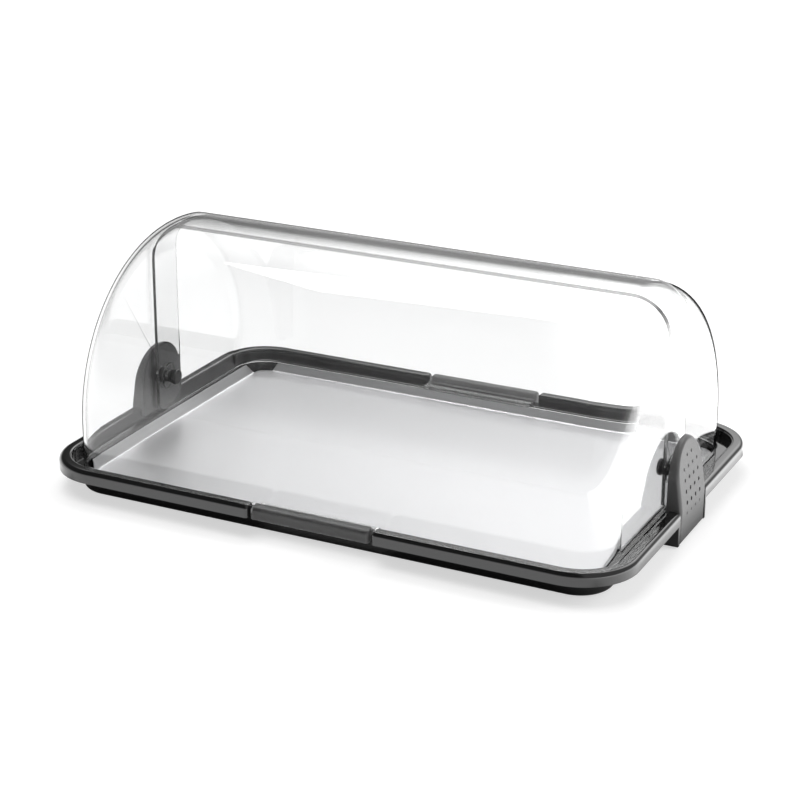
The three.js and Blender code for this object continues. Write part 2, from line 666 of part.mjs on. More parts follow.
// Screw from inside the bowl into the foot of an upright
function bracketScrew(end) {
  const tip = PLATE_FACE - SCREW_TIP_GAP;
  return turnedX(latheOutline([
    [SCREW_HEAD_RADIUS, SCREW_SEAT - SCREW_HEAD_HEIGHT], [SCREW_HEAD_RADIUS, SCREW_SEAT],
    [SCREW_RADIUS, SCREW_SEAT], [SCREW_RADIUS, tip],
  ]), end * SCREW_HALF_SPACING, SCREW_HEIGHT);
}

// Round foot under a corner of the base, or its socket where a gap is given
function footShape(side, end, gap, low) {
  const height = FOOT_SHOW + FOOT_SOCKET_DEPTH + gap - low;
  const geometry = new THREE.CylinderGeometry(FOOT_RADIUS + gap, FOOT_RADIUS + gap, height, ROUND_SIDES);
  geometry.rotateX(Math.PI / 2);
  const x = side * (HALF_LENGTH - FOOT_INSET_X);
  const y = end * (HALF_DEPTH - FOOT_INSET_Y);
  return solid(geometry.translate(x, y, low + height / 2));
}

// Put a solid in the assembly under its name
const group = new THREE.Group();
function place(name, body, finish) {
  const geometry = geometryOf(body).toNonIndexed();
  geometry.computeVertexNormals();
  const mesh = new THREE.Mesh(geometry, new THREE.MeshStandardMaterial(finish));
  mesh.name = name;
  group.add(mesh);
}

place("base_tray", baseTray(), BLACK_GLOSS);
place("display_tray", displayTray(), STEEL);
place("front_hood", frontHood(), CLEAR);
place("rear_hood", rearHood(), CLEAR);
for (const [side, sideName] of [[-1, "left"], [1, "right"]]) {
  place(`bracket_housing_${sideName}`, toSide(bracketHousing(), side), GREY_SATIN);
  place(`bracket_mount_${sideName}`, toSide(bracketMount(), side), GREY_SATIN);
  place(`pivot_pin_${sideName}`, toSide(pivotPin(), side), BLACK_SATIN);
  place(`pin_cap_${sideName}`, toSide(pinCap(), side), BLACK_SATIN);
  for (const [end, endName] of [[-1, "front"], [1, "back"]]) {
    place(`bracket_screw_${endName}_${sideName}`, toSide(bracketScrew(end), side), SCREW_STEEL);
    place(`foot_${endName}_${sideName}`, footShape(side, end, 0, 0), RUBBER);
  }
}

export default group;
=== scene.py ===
"""Looks of the roll top display case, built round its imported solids.

Sizes are in millimetres, in the frame of the solids: +X along the case, -Y to the front, +Z up, and the
origin under the middle, on the surface that the feet stand on. Meshes are made in metres. Lamps, and the
reaches that a material reads from its coordinates, are given in metres.
"""

from __future__ import annotations

import json
import logging
import math
from dataclasses import dataclass
from enum import Enum
from functools import cached_property, reduce
from typing import Callable, Iterable, Sequence

import bmesh
import bpy
from mathutils import Matrix, Vector

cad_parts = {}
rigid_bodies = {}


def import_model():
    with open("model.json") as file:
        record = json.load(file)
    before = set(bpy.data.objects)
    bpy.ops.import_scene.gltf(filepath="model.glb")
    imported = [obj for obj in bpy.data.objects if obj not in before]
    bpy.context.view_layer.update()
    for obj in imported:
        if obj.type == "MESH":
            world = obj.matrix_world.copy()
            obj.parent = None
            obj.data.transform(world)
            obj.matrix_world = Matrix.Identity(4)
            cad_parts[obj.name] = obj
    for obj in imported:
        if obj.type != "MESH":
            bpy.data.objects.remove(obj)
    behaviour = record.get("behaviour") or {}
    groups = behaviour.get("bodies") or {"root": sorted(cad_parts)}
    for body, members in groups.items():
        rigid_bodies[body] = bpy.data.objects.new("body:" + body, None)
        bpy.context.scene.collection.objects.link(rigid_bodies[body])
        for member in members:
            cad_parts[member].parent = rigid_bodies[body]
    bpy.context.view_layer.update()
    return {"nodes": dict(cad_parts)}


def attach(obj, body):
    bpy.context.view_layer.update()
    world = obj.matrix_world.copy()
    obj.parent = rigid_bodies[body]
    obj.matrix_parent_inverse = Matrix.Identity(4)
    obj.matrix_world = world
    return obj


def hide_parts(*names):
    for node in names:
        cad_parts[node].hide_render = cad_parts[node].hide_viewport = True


LOG = logging.getLogger("display_case")

Point = tuple[float, float, float]
Flat = tuple[float, float]
Ring = list[Point]
Station = tuple[Flat, Flat]
Shade = tuple[float, float, float]
Piece = bpy.types.Object
Vert = bmesh.types.BMVert
Tree = bpy.types.NodeTree
Socket = bpy.types.NodeSocket

METRES = 0.001
SMOOTH_ANGLE = math.radians(38)
QUARTERS = ((1, 1), (-1, 1), (-1, -1), (1, -1))

HALF_LENGTH = 280.0
HALF_DEPTH = 188.5
BASE_CORNER = 53.0
BEAD_TOP = 32.6
BEAD_LOW = 20.8
BEAD_WIDTH = 12.0
BEAD_FILLET = 4.6
LEDGE_TOP = 24.0
PIVOT_HEIGHT = 57.4
LIP_HALF = 57.5
FOOT_X = 220.0
FOOT_Y = 138.5
FOOT_SIDES = 48
SCREW_Y = 18.0
SCREW_Z = 10.0


class Side(Enum):
    """The two ends of the case, with the sign of X there."""

    LEFT = -1
    RIGHT = 1

    @property
    def label(self) -> str:
        """Name used in the names of nodes."""
        return self.name.lower()


class Place(Enum):
    """Front and back of the case, with the word that the names of its hoods have there."""

    FRONT = "front"
    BACK = "rear"


class Cut(Enum):
    """What is done to a mesh with another one."""

    JOIN = "UNION"
    REMOVE = "DIFFERENCE"


# Curves


def arc(centre: Flat, radius: float, start: float, end: float, steps: int) -> list[Flat]:
    """Points of a circular arc in a plane.

    Args:
        centre: middle of the circle.
        radius: its radius.
        start: first angle in degrees.
        end: last angle in degrees.
        steps: number of equal parts.

    Returns:
        steps + 1 points from the first angle to the last.
    """
    angles = [math.radians(start + (end - start) * i / steps) for i in range(steps + 1)]
    return [(centre[0] + radius * math.cos(a), centre[1] + radius * math.sin(a)) for a in angles]


def circle(centre: Flat, radius: float, sides: int) -> list[Flat]:
    """Points of a whole circle, each of them once."""
    return arc(centre, radius, 0, 360 - 360 / sides, sides - 1)


def rounded_plan(half_x: float, half_y: float, radius: float, z: float, steps: int = 14) -> Ring:
    """A level rounded rectangle, counter-clockwise from above.

    Args:
        half_x: half its length.
        half_y: half its depth.
        radius: radius of its corners.
        z: its height.
        steps: parts of each corner.

    Returns:
        Its points, corner by corner.
    """
    ring: Ring = []
    for quarter, (sx, sy) in enumerate(QUARTERS):
        centre = (sx * (half_x - radius), sy * (half_y - radius))
        ring += [(x, y, z) for x, y in arc(centre, radius, 90 * quarter, 90 * quarter + 90, steps)]
    return ring


def base_plan(inset: float, z: float) -> Ring:
    """The outline of the base at a distance inside it."""
    return rounded_plan(HALF_LENGTH - inset, HALF_DEPTH - inset, BASE_CORNER - inset, z)


def end_round(distance: float, radius: float) -> float:
    """How far a rounded end draws a section in.

    Args:
        distance: distance of the section from the end.
        radius: radius of the rounding.

    Returns:
        How far the section is drawn in.
    """
    if distance >= radius:
        return 0.0
    return radius - math.sqrt(max(radius**2 - (radius - distance) ** 2, 0.0))


# Meshes


def placed(name: str, data: bpy.types.ID) -> Piece:
    """A new object at the origin, linked to the scene.

    Args:
        name: its name.
        data: its mesh, light or camera.

    Returns:
        The object.
    """
    thing = bpy.data.objects.new(name, data)
    bpy.context.scene.collection.objects.link(thing)
    return thing


class Former:
    """Collects faces of one piece in a bmesh and makes its object."""

    def __init__(self) -> None:
        """Start with nothing."""
        self.bm = bmesh.new()

    def ring(self, points: Iterable[Point]) -> list[Vert]:
        """Vertices at points in millimetres."""
        return [self.bm.verts.new(Vector(p) * METRES) for p in points]

    def band(self, a: Sequence[Vert], b: Sequence[Vert], closed: bool = True) -> None:
        """Faces between two rows of as many vertices.

        Args:
            a: first row.
            b: second row.
            closed: whether the rows run round.
        """
        count = len(a)
        for i in range(count if closed else count - 1):
            j = (i + 1) % count
            self.bm.faces.new((a[i], a[j], b[j], b[i]))

    def stack(self, rings: Sequence[Iterable[Point]]) -> None:
        """A closed body from rings of as many points, with a face over the first and the last.

        Args:
            rings: the rings in order.
        """
        rows = [self.ring(r) for r in rings]
        for a, b in zip(rows, rows[1:]):
            self.band(a, b)
        self.bm.faces.new(list(reversed(rows[0])))
        self.bm.faces.new(rows[-1])

    def fill_between(self, outer: Sequence[Vert], hole: Sequence[Vert]) -> None:
        """Flat faces between an outline and a hole in it.

        Args:
            outer: vertices of the outline in order.
            hole: vertices of the hole in order.
        """
        edges = []
        for loop in (outer, hole):
            for i, vert in enumerate(loop):
                ends = (vert, loop[(i + 1) % len(loop)])
                edges.append(self.bm.edges.get(ends) or self.bm.edges.new(ends))
        bmesh.ops.triangle_fill(self.bm, use_beauty=True, use_dissolve=False, edges=edges)

    def turned(self, profile: Sequence[Flat], centre: Flat, sides: int) -> None:
        """A body turned about the X axis.

        Args:
            profile: pairs of x and radius, from one end to the other.
            centre: y and z of the axis.
            sides: number of sides.
        """
        angles = [2 * math.pi * i / sides for i in range(sides)]
        self.stack([
            [(x, centre[0] + r * math.cos(a), centre[1] + r * math.sin(a)) for a in angles]
            for x, r in profile
        ])

    def box(self, low: Point, high: Point) -> None:
        """A plain box between two corners.

        Args:
            low: its corner with the lowest coordinates.
            high: its corner with the highest ones.
        """
        (x0, y0, z0), (x1, y1, z1) = low, high
        level = [(x0, y0), (x1, y0), (x1, y1), (x0, y1)]
        self.stack([[(x, y, z) for x, y in level] for z in (z0, z1)])

    def object(self, name: str) -> Piece:
        """Make the object.

        Args:
            name: its name.

        Returns:
            An object at the origin, linked to the scene, with its faces turned outwards.
        """
        bmesh.ops.recalc_face_normals(self.bm, faces=self.bm.faces)
        mesh = bpy.data.meshes.new(name)
        self.bm.to_mesh(mesh)
        self.bm.free()
        return placed(name, mesh)


def settle(piece: Piece) -> None:
    """Turn an object's live modifiers into a plain mesh.

    Args:
        piece: the object.
    """
    graph = bpy.context.evaluated_depsgraph_get()
    mesh = bpy.data.meshes.new_from_object(piece.evaluated_get(graph))
    piece.modifiers.clear()
    piece.data = mesh


def combine(piece: Piece, tools: Iterable[Piece], how: Cut) -> None:
    """Join other meshes to a piece or cut them from it, and delete them.

    Args:
        piece: the piece that stays.
        tools: the other objects.
        how: join or remove.
    """
    tools = list(tools)
    for tool in tools:
        step = piece.modifiers.new(tool.name, "BOOLEAN")
        step.operation = how.value
        step.solver = "EXACT"
        step.object = tool
    settle(piece)
    for tool in tools:
        bpy.data.objects.remove(tool)


def reflect(mesh: bpy.types.Mesh, sign_x: int, sign_y: int) -> None:
    """Mirror a mesh in place and keep its faces turned outwards.

    Args:
        mesh: the mesh.
        sign_x: -1 to change the sign of X, or else 1.
        sign_y: the same for Y.
    """
    mesh.transform(Matrix.Diagonal((sign_x, sign_y, 1, 1)))
    if sign_x * sign_y < 0:
        mesh.flip_normals()


def mirrored(piece: Piece, sign_x: int, sign_y: int) -> Piece:
    """A mirrored copy of an object that lies at the origin.

    Args:
        piece: the object.
        sign_x: sign of X in the copy.
        sign_y: sign of Y in the copy.

    Returns:
        The copy, with its faces turned outwards.
    """
    mesh = piece.data.copy()
    reflect(mesh, sign_x, sign_y)
    return placed(f"{piece.name}_copy", mesh)


def at_four_quarters(piece: Piece) -> list[Piece]:
    """An object and its mirrored copies in the three other quarters of the case."""
    return [piece, mirrored(piece, -1, 1), mirrored(piece, 1, -1), mirrored(piece, -1, -1)]


def bevel(piece: Piece, width: float, angle: float = 50.0, segments: int = 2) -> None:
    """Round the sharp edges of a piece.

    Args:
        piece: the piece.
        width: width of the rounding in millimetres.
        angle: edges sharper than this many degrees are rounded.
        segments: parts of the rounding.
    """
    step = piece.modifiers.new("edge", "BEVEL")
    step.width = width * METRES
    step.segments = segments
    step.limit_method = "ANGLE"
    step.angle_limit = math.radians(angle)
    step.use_clamp_overlap = True
    settle(piece)


def finish_piece(
    piece: Piece, body: str, material: bpy.types.Material, nodes: Sequence[str]
) -> Piece:
    """Shade a piece, give it its material, attach it to its body and hide the solids that it stands for.

    Args:
        piece: the piece.
        body: the body that it moves with.
        material: its material.
        nodes: the solids that it stands for.

    Returns:
        The piece.
    """
    mesh = piece.data
    mesh.materials.clear()
    mesh.materials.append(material)
    mesh.polygons.foreach_set("material_index", [0] * len(mesh.polygons))
    mesh.shade_smooth()
    mesh.set_sharp_from_angle(angle=SMOOTH_ANGLE)
    even = piece.modifiers.new("even", "WEIGHTED_NORMAL")
    even.mode = "FACE_AREA"
    even.keep_sharp = True
    settle(piece)
    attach(piece, body)
    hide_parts(*nodes)
    LOG.info("%s: %d faces on body %s", piece.name, len(piece.data.polygons), body)
    return piece


# Node trees


def empty_tree(owner: bpy.types.Material | bpy.types.World) -> Tree:
    """Empty the node tree of a material or world.

    Args:
        owner: the material or world.

    Returns:
        Its tree, with nothing in it.
    """
    owner.use_nodes = True
    owner.node_tree.nodes.clear()
    return owner.node_tree


def maths(tree: Tree, operation: str, *values: Socket | float) -> Socket:
    """A Math node.

    Args:
        tree: where the node goes.
        operation: what it does, such as ADD or FLOOR.
        values: sockets or numbers, one for each of its inputs in use.

    Returns:
        Its output.
    """
    node = tree.nodes.new("ShaderNodeMath")
    node.operation = operation
    for socket, given in zip(node.inputs, values):
        if isinstance(given, Socket):
            tree.links.new(given, socket)
        else:
            socket.default_value = given
    return node.outputs[0]


def chained(tree: Tree, operation: str, *values: Socket | float) -> Socket:
    """A chain of Math nodes that takes the values in order.

    Args:
        tree: where the nodes go.
        operation: what each node does, such as ADD or MAXIMUM.
        values: sockets or numbers.

    Returns:
        The last node's output.
    """
    return reduce(lambda total, value: maths(tree, operation, total, value), values)


def vectors(tree: Tree, operation: str, a: Socket, b: Socket) -> Socket:
    """A Vector Math node.

    Args:
        tree: where the node goes.
        operation: what it does, such as ADD or SCALE.
        a: the first vector.
        b: the second vector, or the factor where the operation is SCALE.

    Returns:
        Its vector output.
    """
    node = tree.nodes.new("ShaderNodeVectorMath")
    node.operation = operation
    tree.links.new(a, node.inputs[0])
    tree.links.new(b, node.inputs["Scale"] if operation == "SCALE" else node.inputs[1])
    return node.outputs[0]


def spread(tree: Tree, value: Socket, reach: Flat, levels: Flat = (0.0, 1.0)) -> Socket:
    """A soft change from one level to another where a value passes through its reach.

    Args:
        tree: where the node goes.
        value: what changes.
        reach: where the change starts and ends.
        levels: the level before and after it.

    Returns:
        The level.
    """
    ramp = tree.nodes.new("ShaderNodeMapRange")
    ramp.interpolation_type = "SMOOTHSTEP"
    ramp.inputs["From Min"].default_value, ramp.inputs["From Max"].default_value = reach
    ramp.inputs["To Min"].default_value, ramp.inputs["To Max"].default_value = levels
    tree.links.new(value, ramp.inputs["Value"])
    return ramp.outputs["Result"]


def toward(tree: Tree, place: Socket, direction: Point) -> Socket:
    """How far a place or direction lies toward another direction.

    Args:
        tree: where the node goes.
        place: the place or direction.
        direction: what it is measured along.

    Returns:
        The measure.
    """
    along = tree.nodes.new("ShaderNodeVectorMath")
    along.operation = "DOT_PRODUCT"
    along.inputs[1].default_value = direction
    tree.links.new(place, along.inputs[0])
    return along.outputs["Value"]


def distance_along(tree: Tree, place: Socket, axis: int) -> Socket:
    """How far a place lies from the middle of the case along an axis, on either side.

    Args:
        tree: where the nodes go.
        place: the place.
        axis: 0 for X, 1 for Y and 2 for Z.

    Returns:
        The distance, never negative.
    """
    parts = tree.nodes.new("ShaderNodeSeparateXYZ")
    tree.links.new(place, parts.inputs[0])
    return maths(tree, "ABSOLUTE", parts.outputs[axis])


# Repeats by geometry nodes


class RowRepeater:
    """A geometry tree that repeats a mesh along rows and columns."""

    INPUTS = (
        ("Columns", "NodeSocketInt"),
        ("Rows", "NodeSocketInt"),
        ("Start", "NodeSocketVector"),
        ("Column Step", "NodeSocketVector"),
        ("Row Step", "NodeSocketVector"),
        ("Face Inwards", "NodeSocketBool"),
        ("Material", "NodeSocketMaterial"),
    )

    @staticmethod
    def _spot(tree: Tree, given: bpy.types.Node) -> Socket:
        """Where the point of each index lies.

        Args:
            tree: where the nodes go.
            given: the group's inputs.

        Returns:
            The position.
        """
        index = tree.nodes.new("GeometryNodeInputIndex").outputs[0]
        columns = given.outputs["Columns"]
        column = maths(tree, "MODULO", index, columns)
        row = maths(tree, "FLOOR", maths(tree, "DIVIDE", index, columns))
        along = vectors(tree, "SCALE", given.outputs["Column Step"], column)
        across = vectors(tree, "SCALE", given.outputs["Row Step"], row)
        return vectors(tree, "ADD", given.outputs["Start"], vectors(tree, "ADD", along, across))

    @staticmethod
    def _turn(tree: Tree, given: bpy.types.Node) -> Socket:
        """Rotation of each copy: half round on the left of the case, if they are to face inwards.

        Args:
            tree: where the nodes go.
            given: the group's inputs.

        Returns:
            The rotation.
        """
        add, link = tree.nodes.new, tree.links.new
        apart = add("ShaderNodeSeparateXYZ")
        link(add("GeometryNodeInputPosition").outputs[0], apart.inputs[0])
        left = add("FunctionNodeCompare")
        left.data_type = "FLOAT"
        left.operation = "LESS_THAN"
        link(apart.outputs[0], left.inputs[0])
        both = add("FunctionNodeBooleanMath")
        both.operation = "AND"
        link(left.outputs[0], both.inputs[0])
        link(given.outputs["Face Inwards"], both.inputs[1])
        angles = add("ShaderNodeCombineXYZ")
        link(maths(tree, "MULTIPLY", both.outputs[0], math.pi), angles.inputs[2])
        return angles.outputs[0]

    @cached_property
    def tree(self) -> Tree:
        """The tree, built once.

        Returns:
            The geometry tree.
        """
        tree = bpy.data.node_groups.new("repeat_in_rows", "GeometryNodeTree")
        tree.is_modifier = True
        for way in ("INPUT", "OUTPUT"):
            tree.interface.new_socket("Geometry", in_out=way, socket_type="NodeSocketGeometry")
        for name, kind in self.INPUTS:
            tree.interface.new_socket(name, in_out="INPUT", socket_type=kind)
        add, link = tree.nodes.new, tree.links.new
        given, made = add("NodeGroupInput"), add("NodeGroupOutput")
        points = add("GeometryNodePoints")
        count = maths(tree, "MULTIPLY", given.outputs["Columns"], given.outputs["Rows"])
        link(count, points.inputs["Count"])
        link(self._spot(tree, given), points.inputs["Position"])
        copies = add("GeometryNodeInstanceOnPoints")
        link(points.outputs[0], copies.inputs["Points"])
        link(given.outputs["Geometry"], copies.inputs["Instance"])
        link(self._turn(tree, given), copies.inputs["Rotation"])
        real = add("GeometryNodeRealizeInstances")
        link(copies.outputs[0], real.inputs[0])
        paint = add("GeometryNodeSetMaterial")
        link(real.outputs[0], paint.inputs["Geometry"])
        link(given.outputs["Material"], paint.inputs["Material"])
        link(paint.outputs[0], made.inputs[0])
        return tree

    def repeat(
        self,
        piece: Piece,
        material: bpy.types.Material,
        start: Point,
        column: tuple[int, Point],
        row: tuple[int, Point] = (1, (0, 0, 0)),
        inwards: bool = False,
    ) -> Piece:
        """Repeat an object's mesh and leave a plain mesh.

        Args:
            piece: object whose mesh lies round the origin.
            material: material of the result.
            start: place of the first one, in millimetres.
            column: how many in a row, and the step between them.
            row: how many rows, and the step between them.
            inwards: whether the ones on the left are turned half round.

        Returns:
            The same object.
        """
        step = piece.modifiers.new("rows", "NODES")
        values = {
            "Columns": column[0],
            "Rows": row[0],
            "Start": Vector(start) * METRES,
            "Column Step": Vector(column[1]) * METRES,
            "Row Step": Vector(row[1]) * METRES,
            "Face Inwards": inwards,
            "Material": material,
        }
        step.node_group = self.tree
        for item in self.tree.interface.items_tree:
            if item.in_out == "INPUT" and item.name in values:
                step[item.identifier] = values[item.name]
        settle(piece)
        return piece

    def four(
        self, piece: Piece, material: bpy.types.Material, place: Point, inwards: bool = False
    ) -> Piece:
        """Repeat an object's mesh once in each quarter of the case.

        Args:
            piece: object whose mesh lies round the origin.
            material: material of the result.
            place: place of the one at the right and back.
            inwards: whether the ones on the left are turned half round.

        Returns:
            The same object.
        """
        x, y, z = place
        return self.repeat(piece, material, (-x, -y, z), (2, (2 * x, 0, 0)), (2, (0, 2 * y, 0)), inwards)


# Finishes


def grey(level: float) -> Shade:
    """A neutral shade."""
    return (level,) * 3


class ShaderGroups:
    """Shader node groups that several finishes share."""

    NOISE_REACH = (0.3, 0.7)

    @staticmethod
    def _new(name: str, inputs: dict[str, float], outputs: Sequence[str]) -> Tree:
        """An empty group.

        Args:
            name: its name.
            inputs: value inputs with their defaults, after the vector.
            outputs: names of the value outputs.

        Returns:
            The group.
        """
        tree = bpy.data.node_groups.new(name, "ShaderNodeTree")
        tree.interface.new_socket("Vector", in_out="INPUT", socket_type="NodeSocketVector")
        for key, value in inputs.items():
            socket = tree.interface.new_socket(key, in_out="INPUT", socket_type="NodeSocketFloat")
            socket.default_value = value
        for key in outputs:
            tree.interface.new_socket(key, in_out="OUTPUT", socket_type="NodeSocketFloat")
        return tree

    def _roughness(self, tree: Tree, given: bpy.types.Node, noise: Socket) -> Socket:
        """Noise brought to the roughness range that the group is given.

        Args:
            tree: where the node goes.
            given: the group's inputs.
            noise: the noise.

        Returns:
            The roughness.
        """
        span = tree.nodes.new("ShaderNodeMapRange")
        span.inputs["From Min"].default_value, span.inputs["From Max"].default_value = self.NOISE_REACH
        tree.links.new(noise, span.inputs["Value"])
        tree.links.new(given.outputs["Rough Low"], span.inputs["To Min"])
        tree.links.new(given.outputs["Rough High"], span.inputs["To Max"])
        return span.outputs["Result"]

    @cached_property
    def moulded(self) -> Tree:
        """Moulded skin: a fine grain for bump, and slow patches that change roughness and shade.

        Returns:
            The group.
        """
        tree = self._new(
            "moulded_skin",
            {"Grain": 1500.0, "Patch": 9.0, "Rough Low": 0.1, "Rough High": 0.2},
            ("Height", "Roughness", "Patch"),
        )
        add, link = tree.nodes.new, tree.links.new
        given, made = add("NodeGroupInput"), add("NodeGroupOutput")
        fine, slow = add("ShaderNodeTexNoise"), add("ShaderNodeTexNoise")
        for node, key, detail in ((fine, "Grain", 2.0), (slow, "Patch", 5.0)):
            link(given.outputs["Vector"], node.inputs["Vector"])
            link(given.outputs[key], node.inputs["Scale"])
            node.inputs["Detail"].default_value = detail
        link(fine.outputs["Fac"], made.inputs["Height"])
        link(self._roughness(tree, given, slow.outputs["Fac"]), made.inputs["Roughness"])
        link(slow.outputs["Fac"], made.inputs["Patch"])
        return tree

    @cached_property
    def brushed(self) -> Tree:
        """Rolled and brushed metal: short lines along Y for bump and roughness.

        Returns:
            The group.
        """
        tree = self._new(
            "brushed_lines",
            {"Across": 1400.0, "Along": 22.0, "Rough Low": 0.2, "Rough High": 0.34},
            ("Height", "Roughness", "Lines"),
        )
        add, link = tree.nodes.new, tree.links.new
        given, made = add("NodeGroupInput"), add("NodeGroupOutput")
        stretch = add("ShaderNodeCombineXYZ")
        for axis, key in enumerate(("Across", "Along", "Across")):
            link(given.outputs[key], stretch.inputs[axis])
        lines = add("ShaderNodeTexNoise")
        lines.inputs["Scale"].default_value = 1.0
        lines.inputs["Detail"].default_value = 3.0
        link(vectors(tree, "MULTIPLY", given.outputs["Vector"], stretch.outputs[0]), lines.inputs["Vector"])
        link(lines.outputs["Fac"], made.inputs["Height"])
        link(self._roughness(tree, given, lines.outputs["Fac"]), made.inputs["Roughness"])
        link(lines.outputs["Fac"], made.inputs["Lines"])
        return tree


GROUPS = ShaderGroups()


@dataclass(frozen=True)
class Finish:
    """What every finish has: a name, two shades, a roughness range and a fine relief."""

    name: str
    dark: Shade
    light: Shade
    rough: Flat
    relief: float = 0.02
    grain: float = 1500.0
    patch: float = 9.0
    metallic: float = 0.0
    ior: float = 1.5
    coat: float = 0.0

    def group_of(self) -> Tree:
        """The shared group that gives this finish its detail."""
        return GROUPS.moulded

    def group_values(self) -> dict[str, float]:
        """Values of that group's inputs."""
        low, high = self.rough
        return {"Grain": self.grain, "Patch": self.patch, "Rough Low": low, "Rough High": high}

    def mask_name(self) -> str:
        """The output that mixes the two shades."""
        return "Patch"

    def dress(self, tree: Tree, shader: bpy.types.Node, surface: Socket) -> None:
        """Set what only one kind of finish has, and join the shader to the output.

        Args:
            tree: the material's tree.
            shader: its Principled BSDF.
            surface: the surface input of the material's output.
        """
        tree.links.new(shader.outputs[0], surface)

    def material(self) -> bpy.types.Material:
        """The material, built once for each name."""
        return bpy.data.materials.get(self.name) or self._build()

    def _build(self) -> bpy.types.Material:
        """Build the material.

        Returns:
            The material.
        """
        material = bpy.data.materials.new(self.name)
        tree = empty_tree(material)
        add, link = tree.nodes.new, tree.links.new
        output, shader = add("ShaderNodeOutputMaterial"), add("ShaderNodeBsdfPrincipled")
        place = add("ShaderNodeTexCoord")
        group = add("ShaderNodeGroup")
        group.node_tree = self.group_of()
        link(place.outputs["Object"], group.inputs["Vector"])
        for key, value in self.group_values().items():
            group.inputs[key].default_value = value
        shade = add("ShaderNodeMix")
        shade.data_type = "RGBA"
        shade.inputs["A"].default_value = (*self.dark, 1)
        shade.inputs["B"].default_value = (*self.light, 1)
        link(group.outputs[self.mask_name()], shade.inputs["Factor"])
        link(shade.outputs["Result"], shader.inputs["Base Color"])
        link(group.outputs["Roughness"], shader.inputs["Roughness"])
        bump = add("ShaderNodeBump")
        bump.inputs["Strength"].default_value = self.relief
        bump.inputs["Distance"].default_value = METRES
        link(group.outputs["Height"], bump.inputs["Height"])
        link(bump.outputs["Normal"], shader.inputs["Normal"])
        shader.inputs["Metallic"].default_value = self.metallic
        shader.inputs["IOR"].default_value = self.ior
        shader.inputs["Coat Weight"].default_value = self.coat
        self.dress(tree, shader, output.inputs["Surface"])
        return material


@dataclass(frozen=True)
class Brushed(Finish):
    """A metal with short brushed lines."""

    across: float = 1400.0
    along: float = 22.0

    def group_of(self) -> Tree:
        """Brushed lines."""
        return GROUPS.brushed

    def group_values(self) -> dict[str, float]:
        """Fineness of the lines and the roughness range."""
        low, high = self.rough
        return {"Across": self.across, "Along": self.along, "Rough Low": low, "Rough High": high}

    def mask_name(self) -> str:
        """The lines mix the two shades."""
        return "Lines"


@dataclass(frozen=True)
class Clear(Finish):
    """A clear moulded plastic with painted shade at a glancing angle and on rays trapped in its wall, and a
    dull grip on the handle lips.
    """

    glancing: Flat = (0.76, 0.87)
    # painted shade: what is seen through the edge at a glancing angle is darkened to this level
    rim: float = 0.15
    deepest: float = 7.0
    # painted shade on rays trapped in the wall, which pass darkened to this level
    trapped: float = 0.3
    passing: float = 0.93
    grip: Flat = (0.1715, 0.1735)
    grip_shade: float = 0.25
    grip_rough: float = 0.34

    def grip_mask(self, tree: Tree) -> Socket:
        """One on the handle lip and zero on the drum."""
        place = tree.nodes.new("ShaderNodeTexCoord").outputs["Object"]
        return spread(tree, distance_along(tree, place, 1), self.grip)

    def dress(self, tree: Tree, shader: bpy.types.Node, surface: Socket) -> None:
        """Make it clear, with painted shade at a glancing angle, and let shadow rays pass, and trapped rays
        with painted shade.

        Args:
            tree: the material's tree.
            shader: its Principled BSDF.
            surface: the surface input of the material's output.
        """
        add, link = tree.nodes.new, tree.links.new
        shader.inputs["Transmission Weight"].default_value = 1.0
        mask = self.grip_mask(tree)
        shade = add("ShaderNodeMix")
        shade.data_type = "RGBA"
        shade.inputs["B"].default_value = (*grey(self.grip_shade), 1)
        link(mask, shade.inputs["Factor"])
        link(shader.inputs["Base Color"].links[0].from_socket, shade.inputs["A"])
        link(shade.outputs["Result"], shader.inputs["Base Color"])
        dull = maths(tree, "MULTIPLY", mask, self.grip_rough)
        smooth = shader.inputs["Roughness"].links[0].from_socket
        link(maths(tree, "MAXIMUM", smooth, dull), shader.inputs["Roughness"])
        rays = add("ShaderNodeLightPath")
        trapped = maths(tree, "GREATER_THAN", rays.outputs["Ray Depth"], self.deepest)
        past = maths(tree, "MAXIMUM", rays.outputs["Is Shadow Ray"], rays.outputs["Is Diffuse Ray"])
        # painted shade on the edges: seen at a glancing angle, and on rays trapped in the wall
        painted_edge_shade = spread(tree, add("ShaderNodeLayerWeight").outputs["Facing"], self.glancing)
        seen = shader.outputs[0]
        for factor, level in ((painted_edge_shade, self.rim), (trapped, self.trapped), (past, self.passing)):
            through, mix = add("ShaderNodeBsdfTransparent"), add("ShaderNodeMixShader")
            through.inputs["Color"].default_value = (*grey(level), 1)
            link(factor, mix.inputs[0])
            link(seen, mix.inputs[1])
            link(through.outputs[0], mix.inputs[2])
            seen = mix.outputs[0]
        link(seen, surface)


BLACK_GLOSS = Finish(
    "black_gloss", grey(0.004), grey(0.008), (0.06, 0.11), relief=0.0015, grain=900.0, ior=1.62, coat=0.7)
STAINLESS = Brushed(
    "stainless", (0.71, 0.71, 0.72), (0.77, 0.77, 0.78), (0.36, 0.42),
    relief=0.006, metallic=1.0, across=2400.0, along=30.0)
CLEAR = Clear(
    "clear", (0.97, 0.975, 0.975), (0.99, 0.99, 0.99), (0.0, 0.012), relief=0.004, grain=60.0, ior=1.56)
GREY_SATIN = Finish(
    "grey_satin", grey(0.075), grey(0.095), (0.36, 0.44), relief=0.12, grain=2600.0, ior=1.6)
BLACK_SATIN = Finish(
    "black_satin", grey(0.012), grey(0.02), (0.22, 0.32), relief=0.03, grain=2000.0)
RUBBER = Finish(
    "rubber", grey(0.014), grey(0.024), (0.7, 0.85), relief=0.2, grain=1800.0)
SCREW_STEEL = Brushed(
    "screw_steel", grey(0.5), grey(0.62), (0.25, 0.4), metallic=1.0, across=500.0, along=500.0)


# Swept sections


